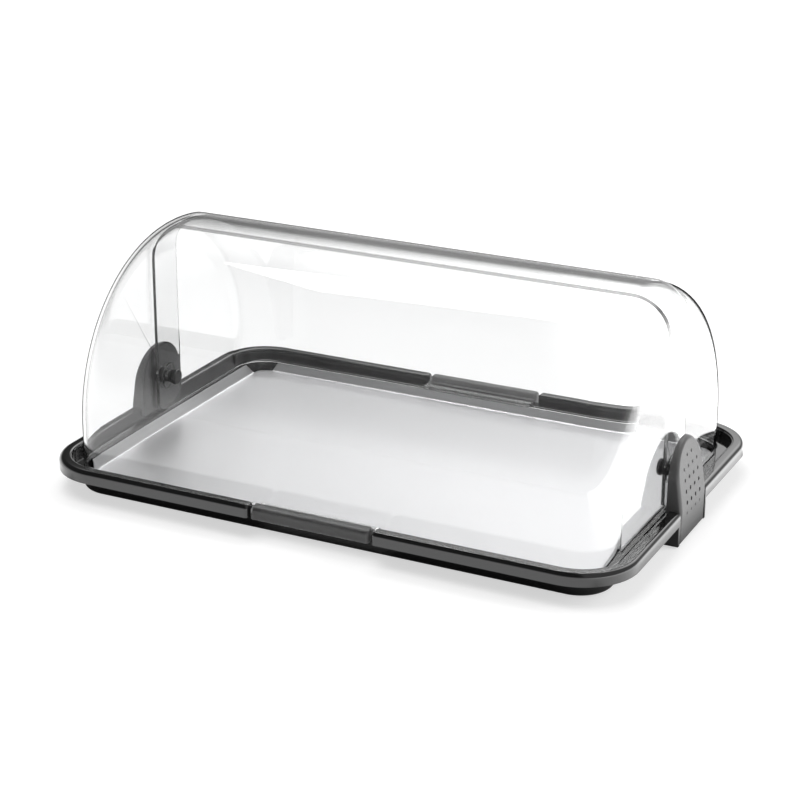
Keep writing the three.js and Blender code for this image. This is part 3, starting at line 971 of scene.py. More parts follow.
@dataclass
class Bead:
    """Section of the bead round the base."""

    low: float = BEAD_LOW
    top: float = BEAD_TOP
    far: float = BEAD_WIDTH
    near_round: float = BEAD_FILLET
    far_round: float = 2.5
    least_round: float = 0.4
    wall: float = 2.8
    hollow_round: float = 1.5
    dent: float = 0.4
    steps: int = 8

    def outside(self, draw_in: float) -> list[Flat]:
        """Outer contour, as distance inwards and height, from the low outer edge to the low inner one.

        Args:
            draw_in: how far a rounded end has drawn it in.

        Returns:
            Its points.
        """
        top = self.top - draw_in
        near = max(self.near_round - draw_in, self.least_round)
        far = max(self.far_round - draw_in, self.least_round)
        last = self.far - draw_in
        contour = [(draw_in, self.low), (draw_in, (self.low + top) / 2)]
        contour += arc((draw_in + near, top - near), near, 180, 90, self.steps)
        contour += arc((last - far, top - far), far, 90, 0, self.steps)
        return [*contour, (last, self.low)]

    def inside(self, draw_in: float, hollow: bool) -> list[Flat]:
        """Inner contour, from the low inner edge back to the low outer one.

        Args:
            draw_in: how far a rounded end has drawn it in.
            hollow: whether the section is hollow there, or solid but for a dent near an end.

        Returns:
            Its points.
        """
        low, high, soft = self.low, self.top - self.wall, self.hollow_round
        near, far = self.wall, self.far - self.wall
        if not hollow:
            high, soft = low + self.dent, self.dent / 2
            near, far = max(near, draw_in + self.dent), min(far, self.far - draw_in - self.dent)
        return [
            (far, low), (far, high - soft), (far - soft, high),
            (near + soft, high), (near, high - soft), (near, low)]


@dataclass
class LipSection(Bead):
    """Section of a handle lip: the bead's shape on a low web from the wall of its hood, open below."""

    low: float = 21.2
    wall: float = 2.6
    web_low: float = 24.5
    web_top: float = 27.4
    bead_side: float = 10.0
    reach: float = 25.5

    def outside(self, draw_in: float) -> list[Flat]:
        """Outer contour, which ends in the wall of the hood.

        Args:
            draw_in: how far a rounded end has drawn it in.

        Returns:
            Its points.
        """
        contour = super().outside(draw_in)[:-1]
        return [*contour, (self.far - draw_in, self.web_top), (self.reach, self.web_top)]

    def inside(self, draw_in: float, hollow: bool) -> list[Flat]:
        """Inner contour: the underside of the web and the hollow of the bead, or the solid end.

        Args:
            draw_in: how far a rounded end has drawn it in.
            hollow: whether the section is hollow there, or solid but for a dent near an end.

        Returns:
            Its points.
        """
        low, dent, near = self.low, self.dent, self.wall
        edge = min(self.bead_side, self.far - draw_in)
        web = [(self.reach, self.web_low), (edge, self.web_low)]
        if hollow:
            high, soft = self.top - self.wall, self.hollow_round
            return [
                *web, (edge, high - soft), (edge - soft, high),
                (near + soft, high), (near, high - soft), (near, low)]
        near = max(near, draw_in + dent)
        return [
            *web, (edge, low), (edge - dent, low + dent), (near + dent, low + dent),
            (near + dent / 2, low + dent / 2), (near, low)]


@dataclass(frozen=True)
class Run:
    """Length of a sweep, the radius of its rounded ends and how far its solid ends reach in."""

    length: float
    rounds: Flat
    stops: Flat
    just: float = 0.02

    def distances(self, bends: Iterable[float]) -> list[float]:
        """Distances at which the sweep has a section.

        Args:
            bends: distances of the path's own bends.

        Returns:
            The distances in order.
        """
        first, last = self.stops[0], self.length - self.stops[1]
        spots = {0.0, self.length, first, first + self.just, last, last - self.just, *bends}
        for angle in range(0, 91, 15):
            share = 1 - math.cos(math.radians(angle))
            spots |= {self.rounds[0] * share, self.length - self.rounds[1] * share}
        return sorted(round(s, 4) for s in spots)

    def sweep(self, section: Bead, place: Callable[[float], Station], bends: Iterable[float]) -> Former:
        """Sweep a section along a path.

        Args:
            section: the section.
            place: gives the point and the inward normal at a distance.
            bends: distances of the path's own bends.

        Returns:
            The former with one closed body.
        """
        rings = []
        for distance in self.distances(bends):
            (x, y), (nx, ny) = place(distance)
            left = self.length - distance
            draw_in = max(end_round(distance, self.rounds[0]), end_round(left, self.rounds[1]))
            hollow = self.stops[0] < distance < self.length - self.stops[1]
            contour = [*section.outside(draw_in), *section.inside(draw_in, hollow)]
            rings.append([(x + nx * d, y + ny * d, z) for d, z in contour])
        former = Former()
        former.stack(rings)
        return former


# Sub-assemblies


@dataclass
class BaseTray:
    """Black moulded base: bowl, ledge, four stretches of bead, and skirts beside the uprights."""

    foot_show: float = 1.0
    ledge_half_x: float = 253.0
    ledge_half_y: float = 166.3
    ledge_corner: float = 26.0
    ledge_edge: float = 0.4
    mouth_start: float = 3.0
    mouth_round: float = 1.6
    bowl_top_inset: float = 19.0
    bowl_foot_inset: float = 22.7
    bowl_edge: float = 4.0
    bowl_neck: Flat = (0.25, 1.4)
    neck_round: float = 1.2
    flange_inset: float = 10.8
    flange_edge: float = 0.5
    floor: float = 3.0
    floor_round: float = 3.0
    floor_lead: float = 4.0
    draft: float = 3.0
    notch_half: float = 59.5
    notch_round: float = 3.6
    notch_wall: float = 2.8
    bead_end_round: float = 1.2
    bead_gap: float = 0.1
    bend_lead: float = 6.0
    bend_steps: int = 18
    pocket_half: float = 32.8
    pocket_inner: float = 265.1
    skirt: float = 3.3
    skirt_start: float = 258.2
    skirt_rise: float = 4.0
    skirt_lap: float = 1.0
    skirt_set_back: float = 0.15
    skirt_edge: float = 0.8
    rib_count: int = 5
    rib_pitch: float = 76.0
    rib_half: float = 230.0
    rib_half_width: float = 1.5
    rib_root: float = 3.0
    rib_top: float = 12.9
    recess: float = 9.3
    recess_top: float = 2.7
    recess_overrun: float = 3.0
    bore: float = 2.3
    bore_middle: float = 250.0
    bore_reach: Flat = (-8.0, 20.0)
    bore_sides: int = 32
    overrun: float = 5.0

    def bowl_inset(self, z: float) -> float:
        """How far the outside of the bowl lies inside the outline at a height."""
        share = (z - self.foot_show) / (BEAD_LOW - self.foot_show)
        return self.bowl_foot_inset + (self.bowl_top_inset - self.bowl_foot_inset) * share

    def mouth(self, grow: float, z: float) -> Ring:
        """Outline of the mouth of the bowl at a distance outside it."""
        half_x, half_y = self.ledge_half_x + grow, self.ledge_half_y + grow
        return rounded_plan(half_x, half_y, self.ledge_corner + grow, z)

    def bowl(self) -> Piece:
        """Build the bowl and the ledge round it.

        Returns:
            One closed body.
        """
        rings = []
        for i in range(7):
            angle = math.radians(15 * i)
            z = self.foot_show + self.bowl_edge * (1 - math.cos(angle))
            rings.append(base_plan(self.bowl_inset(z) + self.bowl_edge * (1 - math.sin(angle)), z))
        inset, drop = self.bowl_neck
        rings.append(base_plan(self.bowl_top_inset + inset, BEAD_LOW - drop))
        neck, top = self.neck_round, self.bowl_top_inset
        rings += [base_plan(top - neck + d, z) for d, z in arc((0, BEAD_LOW - neck), neck, 0, 90, 4)]
        flange, soft, edge = self.flange_inset, self.flange_edge, self.ledge_edge
        rings += [base_plan(flange + soft, BEAD_LOW), base_plan(flange, BEAD_LOW + soft)]
        rings += [base_plan(flange, LEDGE_TOP - edge), base_plan(flange + edge, LEDGE_TOP)]
        lip = self.mouth_round
        rings += [self.mouth(self.mouth_start, LEDGE_TOP), self.mouth(lip, LEDGE_TOP)]
        rings += [self.mouth(lip - d, z) for d, z in arc((0, LEDGE_TOP - lip), lip, 75, 0, 5)]
        low, foot = self.foot_show + self.floor, self.floor_round
        rings += [self.mouth(-self.draft - d, z) for d, z in arc((foot, low + foot), foot, 180, 270, 6)]
        rings.append(self.mouth(-self.draft - foot - self.floor_lead, low))
        former = Former()
        former.stack(rings)
        return former.object("base_tray_moulding")

    def bead(self) -> Piece:
        """The stretch of bead from the front notch round the right front corner to the right upright.

        Returns:
            One closed body.
        """
        run_x = HALF_LENGTH - BASE_CORNER - self.notch_half
        run_y = HALF_DEPTH - BASE_CORNER - self.pocket_half - self.bead_gap
        bend = math.pi / 2 * BASE_CORNER
        centre = (HALF_LENGTH - BASE_CORNER, -HALF_DEPTH + BASE_CORNER)

        def place(s: float) -> Station:
            """Point and inward normal of the bead.

            Args:
                s: distance from the notch.

            Returns:
                The point and the normal.
            """
            if s <= run_x:
                return (self.notch_half + s, -HALF_DEPTH), (0.0, 1.0)
            if s >= run_x + bend:
                return (HALF_LENGTH, centre[1] + s - run_x - bend), (-1.0, 0.0)
            angle = -math.pi / 2 + (s - run_x) / BASE_CORNER
            out = (math.cos(angle), math.sin(angle))
            return (centre[0] + BASE_CORNER * out[0], centre[1] + BASE_CORNER * out[1]), (-out[0], -out[1])

        bends = [run_x + bend * i / self.bend_steps for i in range(self.bend_steps + 1)]
        bends += [run_x - self.bend_lead, run_x + bend + self.bend_lead]
        rounds, stops = (self.notch_round, self.bead_end_round), (self.notch_wall, self.skirt)
        return Run(run_x + bend + run_y, rounds, stops).sweep(Bead(), place, bends).object("bead")

    def skirt_wall(self) -> Piece:
        """The wall beside the right upright, at its front.

        Returns:
            One closed body.
        """
        former, room = Former(), -self.pocket_half
        former.box(
            (self.skirt_start, room - self.skirt, self.foot_show),
            (HALF_LENGTH - self.skirt_set_back, room + self.skirt_lap, BEAD_LOW + self.skirt_rise),
        )
        wall = former.object("skirt")
        bevel(wall, self.skirt_edge, segments=3)
        return wall

    def pocket(self) -> Piece:
        """Room of the right upright, to be cut out.

        Returns:
            A box.
        """
        former = Former()
        former.box(
            (self.pocket_inner, -self.pocket_half, -self.overrun),
            (HALF_LENGTH + self.overrun, self.pocket_half, BEAD_TOP + self.overrun),
        )
        return former.object("pocket")

    def ribs(self, rows: RowRepeater) -> Piece:
        """Ribs on the floor that carry the steel tray.

        Args:
            rows: the tree that repeats them.

        Returns:
            One mesh with all of them.
        """
        former = Former()
        half, wide = self.rib_half, self.rib_half_width
        former.box((-half, -wide, self.rib_root), (half, wide, self.rib_top))
        start, step = (0, -self.rib_pitch * (self.rib_count - 1) / 2, 0), (0, self.rib_pitch, 0)
        return rows.repeat(former.object("ribs"), BLACK_GLOSS.material(), start, (self.rib_count, step))

    def sockets(self, rows: RowRepeater) -> list[Piece]:
        """Recesses for the feet and holes for the screws, to be cut out.

        Args:
            rows: the tree that repeats them.

        Returns:
            One mesh with the recesses and one with the holes.
        """
        foot, bore = Former(), Former()
        plan = circle((0, 0), self.recess, FOOT_SIDES)
        foot.stack([[(x, y, z) for x, y in plan] for z in (-self.recess_overrun, self.recess_top)])
        bore.turned([(x, self.bore) for x in self.bore_reach], (0, 0), self.bore_sides)
        black = BLACK_GLOSS.material()
        return [
            rows.four(foot.object("recess"), black, (FOOT_X, FOOT_Y, 0)),
            rows.four(bore.object("bores"), black, (self.bore_middle, SCREW_Y, SCREW_Z), inwards=True),
        ]

    def build(self, rows: RowRepeater) -> Piece:
        """Build and dress the base.

        Args:
            rows: the tree that repeats ribs and holes.

        Returns:
            The finished piece.
        """
        tray = self.bowl()
        bead, skirt, pocket = self.bead(), self.skirt_wall(), self.pocket()
        combine(tray, [*at_four_quarters(bead), *at_four_quarters(skirt)], Cut.JOIN)
        combine(tray, [pocket, mirrored(pocket, -1, 1)], Cut.REMOVE)
        combine(tray, [self.ribs(rows)], Cut.JOIN)
        combine(tray, self.sockets(rows), Cut.REMOVE)
        return finish_piece(tray, "base", BLACK_GLOSS.material(), ["base_tray"])


@dataclass
class DisplayTray:
    """Steel sheet with a flat floor, round corners and a flap bent up along each side."""

    sheet: float = 1.0
    floor_top: float = 14.2
    rise: float = 9.0
    fold_x: float = 244.7
    fold_y: float = 160.0
    run_x: float = 6.5
    run_y: float = 4.5
    corner: float = 13.0
    corner_steps: int = 12
    slant: float = 5.0
    relief: float = 1.0
    lead: float = 1.5
    bend: float = 2.6
    bend_steps: int = 6
    row_shares: Flat = (0.45, 1.0)
    edge: float = 0.25

    def flap(self, fold: float, run: float, half: float) -> list[Point]:
        """Rows of a flap on the side of +X.

        Args:
            fold: distance of the fold line from the middle.
            run: how far out the flap goes as it rises.
            half: half the length of the flap at its fold.

        Returns:
            Distance from the middle, height and half length of each row.
        """
        slope = math.atan2(self.rise, run)
        back = self.bend * math.tan(slope / 2)
        rows = [(fold - back - self.lead, self.floor_top, half)]
        for i in range(self.bend_steps + 1):
            angle = slope * i / self.bend_steps
            rows.append((
                fold - back + self.bend * math.sin(angle),
                self.floor_top + self.bend * (1 - math.cos(angle)),
                half,
            ))
        rows += [(fold + run * share, self.floor_top + self.rise * share, half) for share in self.row_shares]
        return [
            (d, z, h - self.slant * max(z - self.floor_top, 0) / self.rise) for d, z, h in rows
        ]

    def corner_points(self, quarter: int) -> Ring:
        """Points of a corner of the floor, with the ends of the relief cuts beside it.

        Args:
            quarter: which corner, counted from the one at +X and +Y.

        Returns:
            The points, counter-clockwise from above.
        """
        sx, sy = QUARTERS[quarter]
        ends = self.corner + self.relief
        beside_x = (sx * self.fold_x, sy * (self.fold_y - ends))
        beside_y = (sx * (self.fold_x - ends), sy * self.fold_y)
        first, last = (beside_y, beside_x) if quarter % 2 else (beside_x, beside_y)
        centre = (sx * (self.fold_x - self.corner), sy * (self.fold_y - self.corner))
        points = arc(centre, self.corner, 90 * quarter, 90 * quarter + 90, self.corner_steps)
        return [(x, y, self.floor_top) for x, y in [first, *points, last]]

    def build(self) -> Piece:
        """Build and dress the tray.

        Returns:
            The finished piece.
        """
        former = Former()
        ends = self.corner + self.relief
        outline: list[Vert] = []
        turns = (lambda d, t: (d, t), lambda d, t: (-t, d), lambda d, t: (-d, -t), lambda d, t: (t, -d))
        for quarter, turn in enumerate(turns):
            if quarter % 2:
                rows = self.flap(self.fold_y, self.run_y, self.fold_x - ends)
            else:
                rows = self.flap(self.fold_x, self.run_x, self.fold_y - ends)
            verts = [former.ring([(*turn(d, -h), z), (*turn(d, h), z)]) for d, z, h in rows]
            for a, b in zip(verts, verts[1:]):
                former.band(a, b, closed=False)
            outline += [*verts[0], *former.ring(self.corner_points(quarter))]
        former.bm.faces.new(outline)
        piece = former.object("display_tray_sheet")
        if piece.data.polygons[len(piece.data.polygons) - 1].normal.z < 0:
            piece.data.flip_normals()
        wall = piece.modifiers.new("sheet", "SOLIDIFY")
        wall.thickness = self.sheet * METRES
        wall.offset = -1.0
        settle(piece)
        bevel(piece, self.edge, angle=60)
        return finish_piece(piece, "base", STAINLESS.material(), ["display_tray"])


@dataclass
class Hood:
    """Clear quarter drum with end walls, hub rings and a handle lip, built as the front one."""

    place: Place
    radius: float
    end: float
    past: float
    hub_outside: bool
    corner: float = 35.0
    wall: float = 3.0
    flare: float = 3.4
    flare_foot: float = 1.0
    low: float = 24.4
    lobe: float = 32.8
    lead: float = 6.0
    rim_band: float = 1.6
    bore: float = 5.3
    bore_edge: float = 0.4
    hub: float = 13.0
    hub_height: float = 1.4
    edge: float = 0.4
    lip_round: float = 3.6
    lip_wall: float = 2.6
    lip_lap: float = 1.0
    crown_steps: int = 72
    skirt_steps: int = 6
    corner_steps: int = 14
    lobe_steps: int = 16
    circle_steps: int = 48
    back_shares: tuple[float, ...] = (0.985, 0.7, 0.35)
    foot_shares: tuple[float, ...] = (0.02, 0.35, 0.7, 0.985)

    def front_y(self, radius: float, z: float) -> float:
        """Y of the front skirt, which flares out below the pins.

        Args:
            radius: radius of the drum there.
            z: height of the place.

        Returns:
            The coordinate.
        """
        return -(radius + self.flare * ((PIVOT_HEIGHT - z) / (PIVOT_HEIGHT - self.flare_foot)) ** 2)

    def side_line(self, radius: float) -> list[Flat]:
        """One ring of the drum in y and z, from the low front edge over the crown to the free edge.

        Args:
            radius: radius of the drum there.

        Returns:
            Its points.
        """
        drop = PIVOT_HEIGHT - self.low
        heights = [self.low + drop * i / self.skirt_steps for i in range(self.skirt_steps)]
        stop = math.degrees(math.acos(self.past / radius))
        crown = arc((0, PIVOT_HEIGHT), radius, 180, stop, self.crown_steps)
        return [(self.front_y(radius, z), z) for z in heights] + crown

    def edge_line(self, radius: float) -> list[Flat]:
        """Edge of an end wall from the free edge down, round the pin and forward to the low front corner.

        Args:
            radius: radius of the drum at the end wall.

        Returns:
            Its points.
        """
        start = math.asin(self.past / self.lobe)
        top = PIVOT_HEIGHT + math.sqrt(radius**2 - self.past**2)
        low_end = PIVOT_HEIGHT - self.lobe * math.cos(start)
        line = [(self.past, low_end + (top - low_end) * share) for share in self.back_shares]
        for i in range(self.lobe_steps + 1):
            angle = start * (1 - i / self.lobe_steps)
            line.append((self.lobe * math.sin(angle), PIVOT_HEIGHT - self.lobe * math.cos(angle)))
        front = self.front_y(radius, self.low)
        return line + [(front * share, self.low) for share in self.foot_shares]

    def skin(self, former: Former, depth: float) -> dict[str, list[list[Vert]]]:
        """One skin of the shell.

        Args:
            former: collects the faces.
            depth: how far the skin lies inside the outer one.

        Returns:
            Rows of its grid, and the rim vertices of both end walls.
        """
        corner, end, radius = self.corner - depth, self.end - depth, self.radius - depth
        steps = [math.radians(90 * i / self.corner_steps) for i in range(self.corner_steps + 1)]
        places = [(end - corner * (1 - math.sin(a)), corner * (1 - math.cos(a))) for a in steps]
        right = [(end - corner - self.lead, 0.0), *places]
        columns = [(-x, inset) for x, inset in reversed(right)] + right
        rows = [former.ring([(x, y, z) for y, z in self.side_line(radius - inset)]) for x, inset in columns]
        for a, b in zip(rows, rows[1:]):
            former.band(a, b, closed=False)
        rims = []
        for sign, column in ((-1, rows[0]), (1, rows[-1])):
            edge = former.ring([(sign * end, y, z) for y, z in self.edge_line(radius - corner)])
            rims.append([*column, *edge])
        return {"rows": rows, "rims": rims}

    def hub_profile(self, x: float, sign: int) -> list[Flat]:
        """Section of a hub ring, from its foot on the wall to its bore.

        Args:
            x: place of the wall.
            sign: sign of X at this end.

        Returns:
            Pairs of x and radius.
        """
        out = sign if self.hub_outside else -sign
        top, edge = self.hub_height, self.bore_edge
        outside = [(0.0, 0.0), (0.2, 0.15), (top - 0.5, 0.15), (top - 0.15, 0.3), (top, 0.65)]
        profile = [(x + out * height, self.hub - inset) for height, inset in outside]
        return profile + [(x + out * top, self.bore + edge), (x + out * (top - edge), self.bore)]

    def wall_rings(self, former: Former, depth: float, rim: Sequence[Vert], sign: int) -> list[Vert]:
        """Flat end wall between its rim and the hub, with a narrow band along the rim.

        Args:
            former: collects the faces.
            depth: how far the skin lies inside the outer one.
            rim: vertices of the rim in order.
            sign: sign of X at this end.

        Returns:
            Vertices round the bore on this skin.
        """
        flat = [Vector((v.co.y, v.co.z)) / METRES for v in rim]
        inner = []
        for i, point in enumerate(flat):
            along = flat[(i + 1) % len(flat)] - flat[i - 1]
            normal = Vector((-along.y, along.x)).normalized()
            inner.append(point - normal * self.rim_band)
        x = sign * (self.end - depth)
        band = former.ring([(x, p.x, p.y) for p in inner])
        former.band(rim, band)
        has_hub = self.hub_outside == (depth == 0)
        profile = self.hub_profile(x, sign) if has_hub else [(x, self.bore)]
        circles = []
        for px, r in profile:
            points = circle((0, PIVOT_HEIGHT), r, self.circle_steps)
            circles.append(former.ring([(px, y, z) for y, z in points]))
        former.fill_between(band, circles[0])
        for a, b in zip(circles, circles[1:]):
            former.band(a, b)
        return circles[-1]

    def shell(self) -> Piece:
        """Build the drum without its lip.

        Returns:
            One closed body.
        """
        former = Former()
        outer, inner = self.skin(former, 0.0), self.skin(former, self.wall)
        for index, sign in ((0, -1), (1, 1)):
            bores = [
                self.wall_rings(former, depth, skin["rims"][index], sign)
                for depth, skin in ((0.0, outer), (self.wall, inner))
            ]
            former.band(*bores)
            count = len(outer["rows"][0])
            rims = [skin["rims"][index] for skin in (outer, inner)]
            edges = [[rim[count - 1], *rim[count:], rim[0]] for rim in rims]
            former.band(*edges, closed=False)
        for end in (0, -1):
            former.band([r[end] for r in outer["rows"]], [r[end] for r in inner["rows"]], closed=False)
        return former.object(f"{self.place.value}_hood_clear")

    def lip(self) -> Piece:
        """Handle lip along the low front edge.

        Returns:
            One closed body.
        """
        run = Run(2 * LIP_HALF, (self.lip_round,) * 2, (self.lip_wall,) * 2)
        section = LipSection(reach=HALF_DEPTH - self.radius + self.lip_lap)
        swept = run.sweep(section, lambda s: ((s - LIP_HALF, -HALF_DEPTH), (0.0, 1.0)), [LIP_HALF])
        return swept.object("lip")

    def build(self) -> Piece:
        """Build and dress the hood.

        Returns:
            The finished piece.
        """
        piece = self.shell()
        bevel(piece, self.edge, angle=60)
        combine(piece, [self.lip()], Cut.JOIN)
        if self.place is Place.BACK:
            reflect(piece.data, 1, -1)
        side = self.place.value
        return finish_piece(piece, f"{side}_cover", CLEAR.material(), [f"{side}_hood"])


@dataclass
class Upright:
    """Grey arched upright at an end of the case, with a dimpled outer face."""

    side: Side
    half: float = 32.0
    inner: float = 266.0
    wall: float = 2.6
    round: float = 3.2
    room_round: float = 0.8
    room_overrun: float = 5.0
    low: float = 0.8
    levels: tuple[float, ...] = (12.0, 22.0, BEAD_TOP, 40.0, 49.0)
    lean_middle: float = 4.0
    lean_top: float = 9.0
    dimple: float = 1.8
    dimple_depth: float = 0.9
    dimple_sides: int = 16
    stud_tip: tuple[Flat, ...] = ((1.0, 0.25), (0.86, 0.8), (0.45, 1.25))
    stud_head: Flat = (2.2, 0.3)
    pitch: Flat = (11.0, 10.0)
    first_row: float = 26.0
    full_rows: int = 5
    full_columns: int = 4
    top_columns: int = 2
    arch_steps: int = 48
    edge_steps: int = 7

    def face(self, z: float) -> float:
        """The outer face, which leans inwards above the bead.

        Args:
            z: height of the place.

        Returns:
            X of the face there.
        """
        rise = max(z - BEAD_TOP, 0) / (PIVOT_HEIGHT + self.half - BEAD_TOP)
        bend = self.lean_top - 2 * self.lean_middle
        return HALF_LENGTH - 2 * self.lean_middle * rise - bend * rise * rise

    def outline(self, inset: float) -> list[Flat]:
        """Arched outline in y and z.

        Args:
            inset: distance inside the edge.

        Returns:
            Its points, from the low back corner over the arch to the low front one.
        """
        half = self.half - inset
        levels = [self.low + inset, *self.levels]
        arch = arc((0, PIVOT_HEIGHT), half, 0, 180, self.arch_steps)
        return [(half, z) for z in levels] + arch + [(-half, z) for z in reversed(levels)]

    @staticmethod
    def close(former: Former, row: Sequence[Vert]) -> None:
        """Close an arched row with strips across it.

        Args:
            former: collects the faces.
            row: vertices of the outline in order.
        """
        count = len(row)
        for i in range(count // 2 - 1):
            former.bm.faces.new((row[i], row[i + 1], row[count - 2 - i], row[count - 1 - i]))
        if count % 2:
            middle = count // 2
            former.bm.faces.new((row[middle - 1], row[middle], row[middle + 1]))

    def body(self, inset: float, start: float, face_inset: float, rounding: float) -> Former:
        """Closed arch from an inner plane to the leaning face.

        Args:
            inset: distance inside the edge.
            start: x of the inner plane.
            face_inset: distance behind the outer face.
            rounding: radius of the edge of the outer face.

        Returns:
            The former with one closed body.
        """
        rings = [[(start, y, z) for y, z in self.outline(inset)]]
        for depth, rise in arc((0, 0), rounding, 0, 90, self.edge_steps):
            edge = inset + rounding - depth
            rings.append([(self.face(z) - face_inset - rounding + rise, y, z) for y, z in self.outline(edge)])
        former = Former()
        rows = [former.ring(r) for r in rings]
        for a, b in zip(rows, rows[1:]):
            former.band(a, b)
        self.close(former, rows[0])
        self.close(former, rows[-1])
        return former

    def dimples(self, rows: RowRepeater, columns: int, count: int, first: float) -> Piece:
        """Round-bottomed studs to be cut from the outer face.

        Args:
            rows: the tree that repeats them.
            columns: how many side by side.
            count: how many rows.
            first: height of the first row.

        Returns:
            One mesh with all of them.
        """
        former = Former()
        head, grow = self.stud_head
        profile = [(-self.dimple_depth * share, r) for share, r in self.stud_tip]
        profile += [(0.0, self.dimple), (head, self.dimple + grow)]
        former.turned(profile, (0, 0), self.dimple_sides)
        across, up = self.pitch
        last = first + (count - 1) * up
        drift = (self.face(last) - self.face(first)) / max(count - 1, 1)
        start = (self.face(first), -across * (columns - 1) / 2, first)
        column, row = (columns, (0, across, 0)), (count, (drift, 0, up))
        return rows.repeat(former.object("stud"), GREY_SATIN.material(), start, column, row)

    def build(self, rows: RowRepeater) -> Piece:
        """Build and dress the housing of the upright.

        Args:
            rows: the tree that repeats the dimples.

        Returns:
            The finished piece.
        """
        node = f"bracket_housing_{self.side.label}"
        housing = self.body(0.0, self.inner, 0.0, self.round).object(f"{node}_shell")
        room = self.body(self.wall, self.inner - self.room_overrun, self.wall, self.room_round).object("room")
        top = self.first_row + self.full_rows * self.pitch[1]
        studs = [
            self.dimples(rows, self.full_columns, self.full_rows, self.first_row),
            self.dimples(rows, self.top_columns, 1, top),
        ]
        combine(housing, [room, *studs], Cut.REMOVE)
        if self.side is Side.LEFT:
            reflect(housing.data, -1, 1)
        return finish_piece(housing, "base", GREY_SATIN.material(), [node])


@dataclass
class Pivot:
    """Pin and cap at an end of the case."""

    side: Side
    shaft_end: float = 252.3
    plate_back: float = 268.6
    sides: int = 48
    soft: float = 0.4
    shaft: float = 5.0
    stub: float = 2.5
    stub_length: float = 5.5
    plate: float = 7.5
    plate_width: float = 2.0
    plate_edge: float = 0.5
    cap_gap: float = 0.3
    cap_length: float = 8.0
    knob_back: float = 4.4
    knob: float = 7.6
    knob_edge: float = 0.5
    knob_round: float = 1.8
    knob_front: float = 4.6
    groove: float = 4.8
    groove_slope: float = 0.15
    collar: float = 6.5
    collar_width: float = 2.6
    collar_edge: float = 0.5
    bore: float = 2.8
    bore_depth: float = 5.8
    bore_overrun: float = 5.0

    def turned(self, name: str, profile: Sequence[Flat], node: str, bore: Sequence[Flat] = ()) -> Piece:
        """A turned piece on the pin axis.

        Args:
            name: its name.
            profile: pairs of x and radius.
            node: the solid that it stands for.
            bore: pairs of x and radius of a blind hole, if it has one.

        Returns:
            The finished piece.
        """
        former = Former()
        sign = self.side.value
        former.turned([(sign * x, r) for x, r in profile], (0, PIVOT_HEIGHT), self.sides)
        piece = former.object(name)
        if bore:
            tool = Former()
            tool.turned([(sign * x, r) for x, r in bore], (0, PIVOT_HEIGHT), self.sides)
            combine(piece, [tool.object("bore")], Cut.REMOVE)
        return finish_piece(piece, "base", BLACK_SATIN.material(), [node])

    def pin_profile(self) -> list[Flat]:
        """Section of the pin: stub, shaft and plate.

        Returns:
            Pairs of x and radius.
        """
        end, back, soft = self.shaft_end, self.plate_back, self.soft
        tip, outer = end - self.stub_length, back + self.plate_width
        return [
            (tip, self.stub - soft), (tip + soft, self.stub), (end, self.stub),
            (end, self.shaft - soft), (end + soft, self.shaft), (back, self.shaft),
            (back, self.plate - soft), (back + soft, self.plate),
            (outer - self.plate_edge, self.plate), (outer, self.plate - self.plate_edge)]

    def cap_profile(self) -> list[Flat]:
        """Section of the cap: knob, groove and collar.

        Returns:
            Pairs of x and radius.
        """
        outer = self.shaft_end - self.cap_gap
        start, neck, last = outer - self.collar_width, outer - self.knob_back, outer - self.cap_length
        soft, slope, big = self.collar_edge, self.groove_slope, self.knob_round
        bulge = [(last + big - x, self.knob - big + y) for x, y in arc((0, 0), big, 10, 90, 6)]
        return [
            (last, self.knob_front), *bulge, (neck - self.knob_edge, self.knob),
            (neck, self.knob - self.knob_edge), (neck + slope, self.groove), (start - slope, self.groove),
            (start, self.collar - soft), (start + soft, self.collar),
            (outer - self.soft, self.collar), (outer, self.collar - self.soft)]

    def build(self) -> list[Piece]:
        """Build and dress the pin and its cap.

        Returns:
            Both finished pieces.
        """
        ends = (self.shaft_end - self.bore_depth, self.shaft_end + self.bore_overrun)
        bore = [(x, self.bore) for x in ends]
        pin, cap = f"pivot_pin_{self.side.label}", f"pin_cap_{self.side.label}"
        return [
            self.turned(f"{pin}_turned", self.pin_profile(), pin),
            self.turned(f"{cap}_turned", self.cap_profile(), cap, bore),
        ]


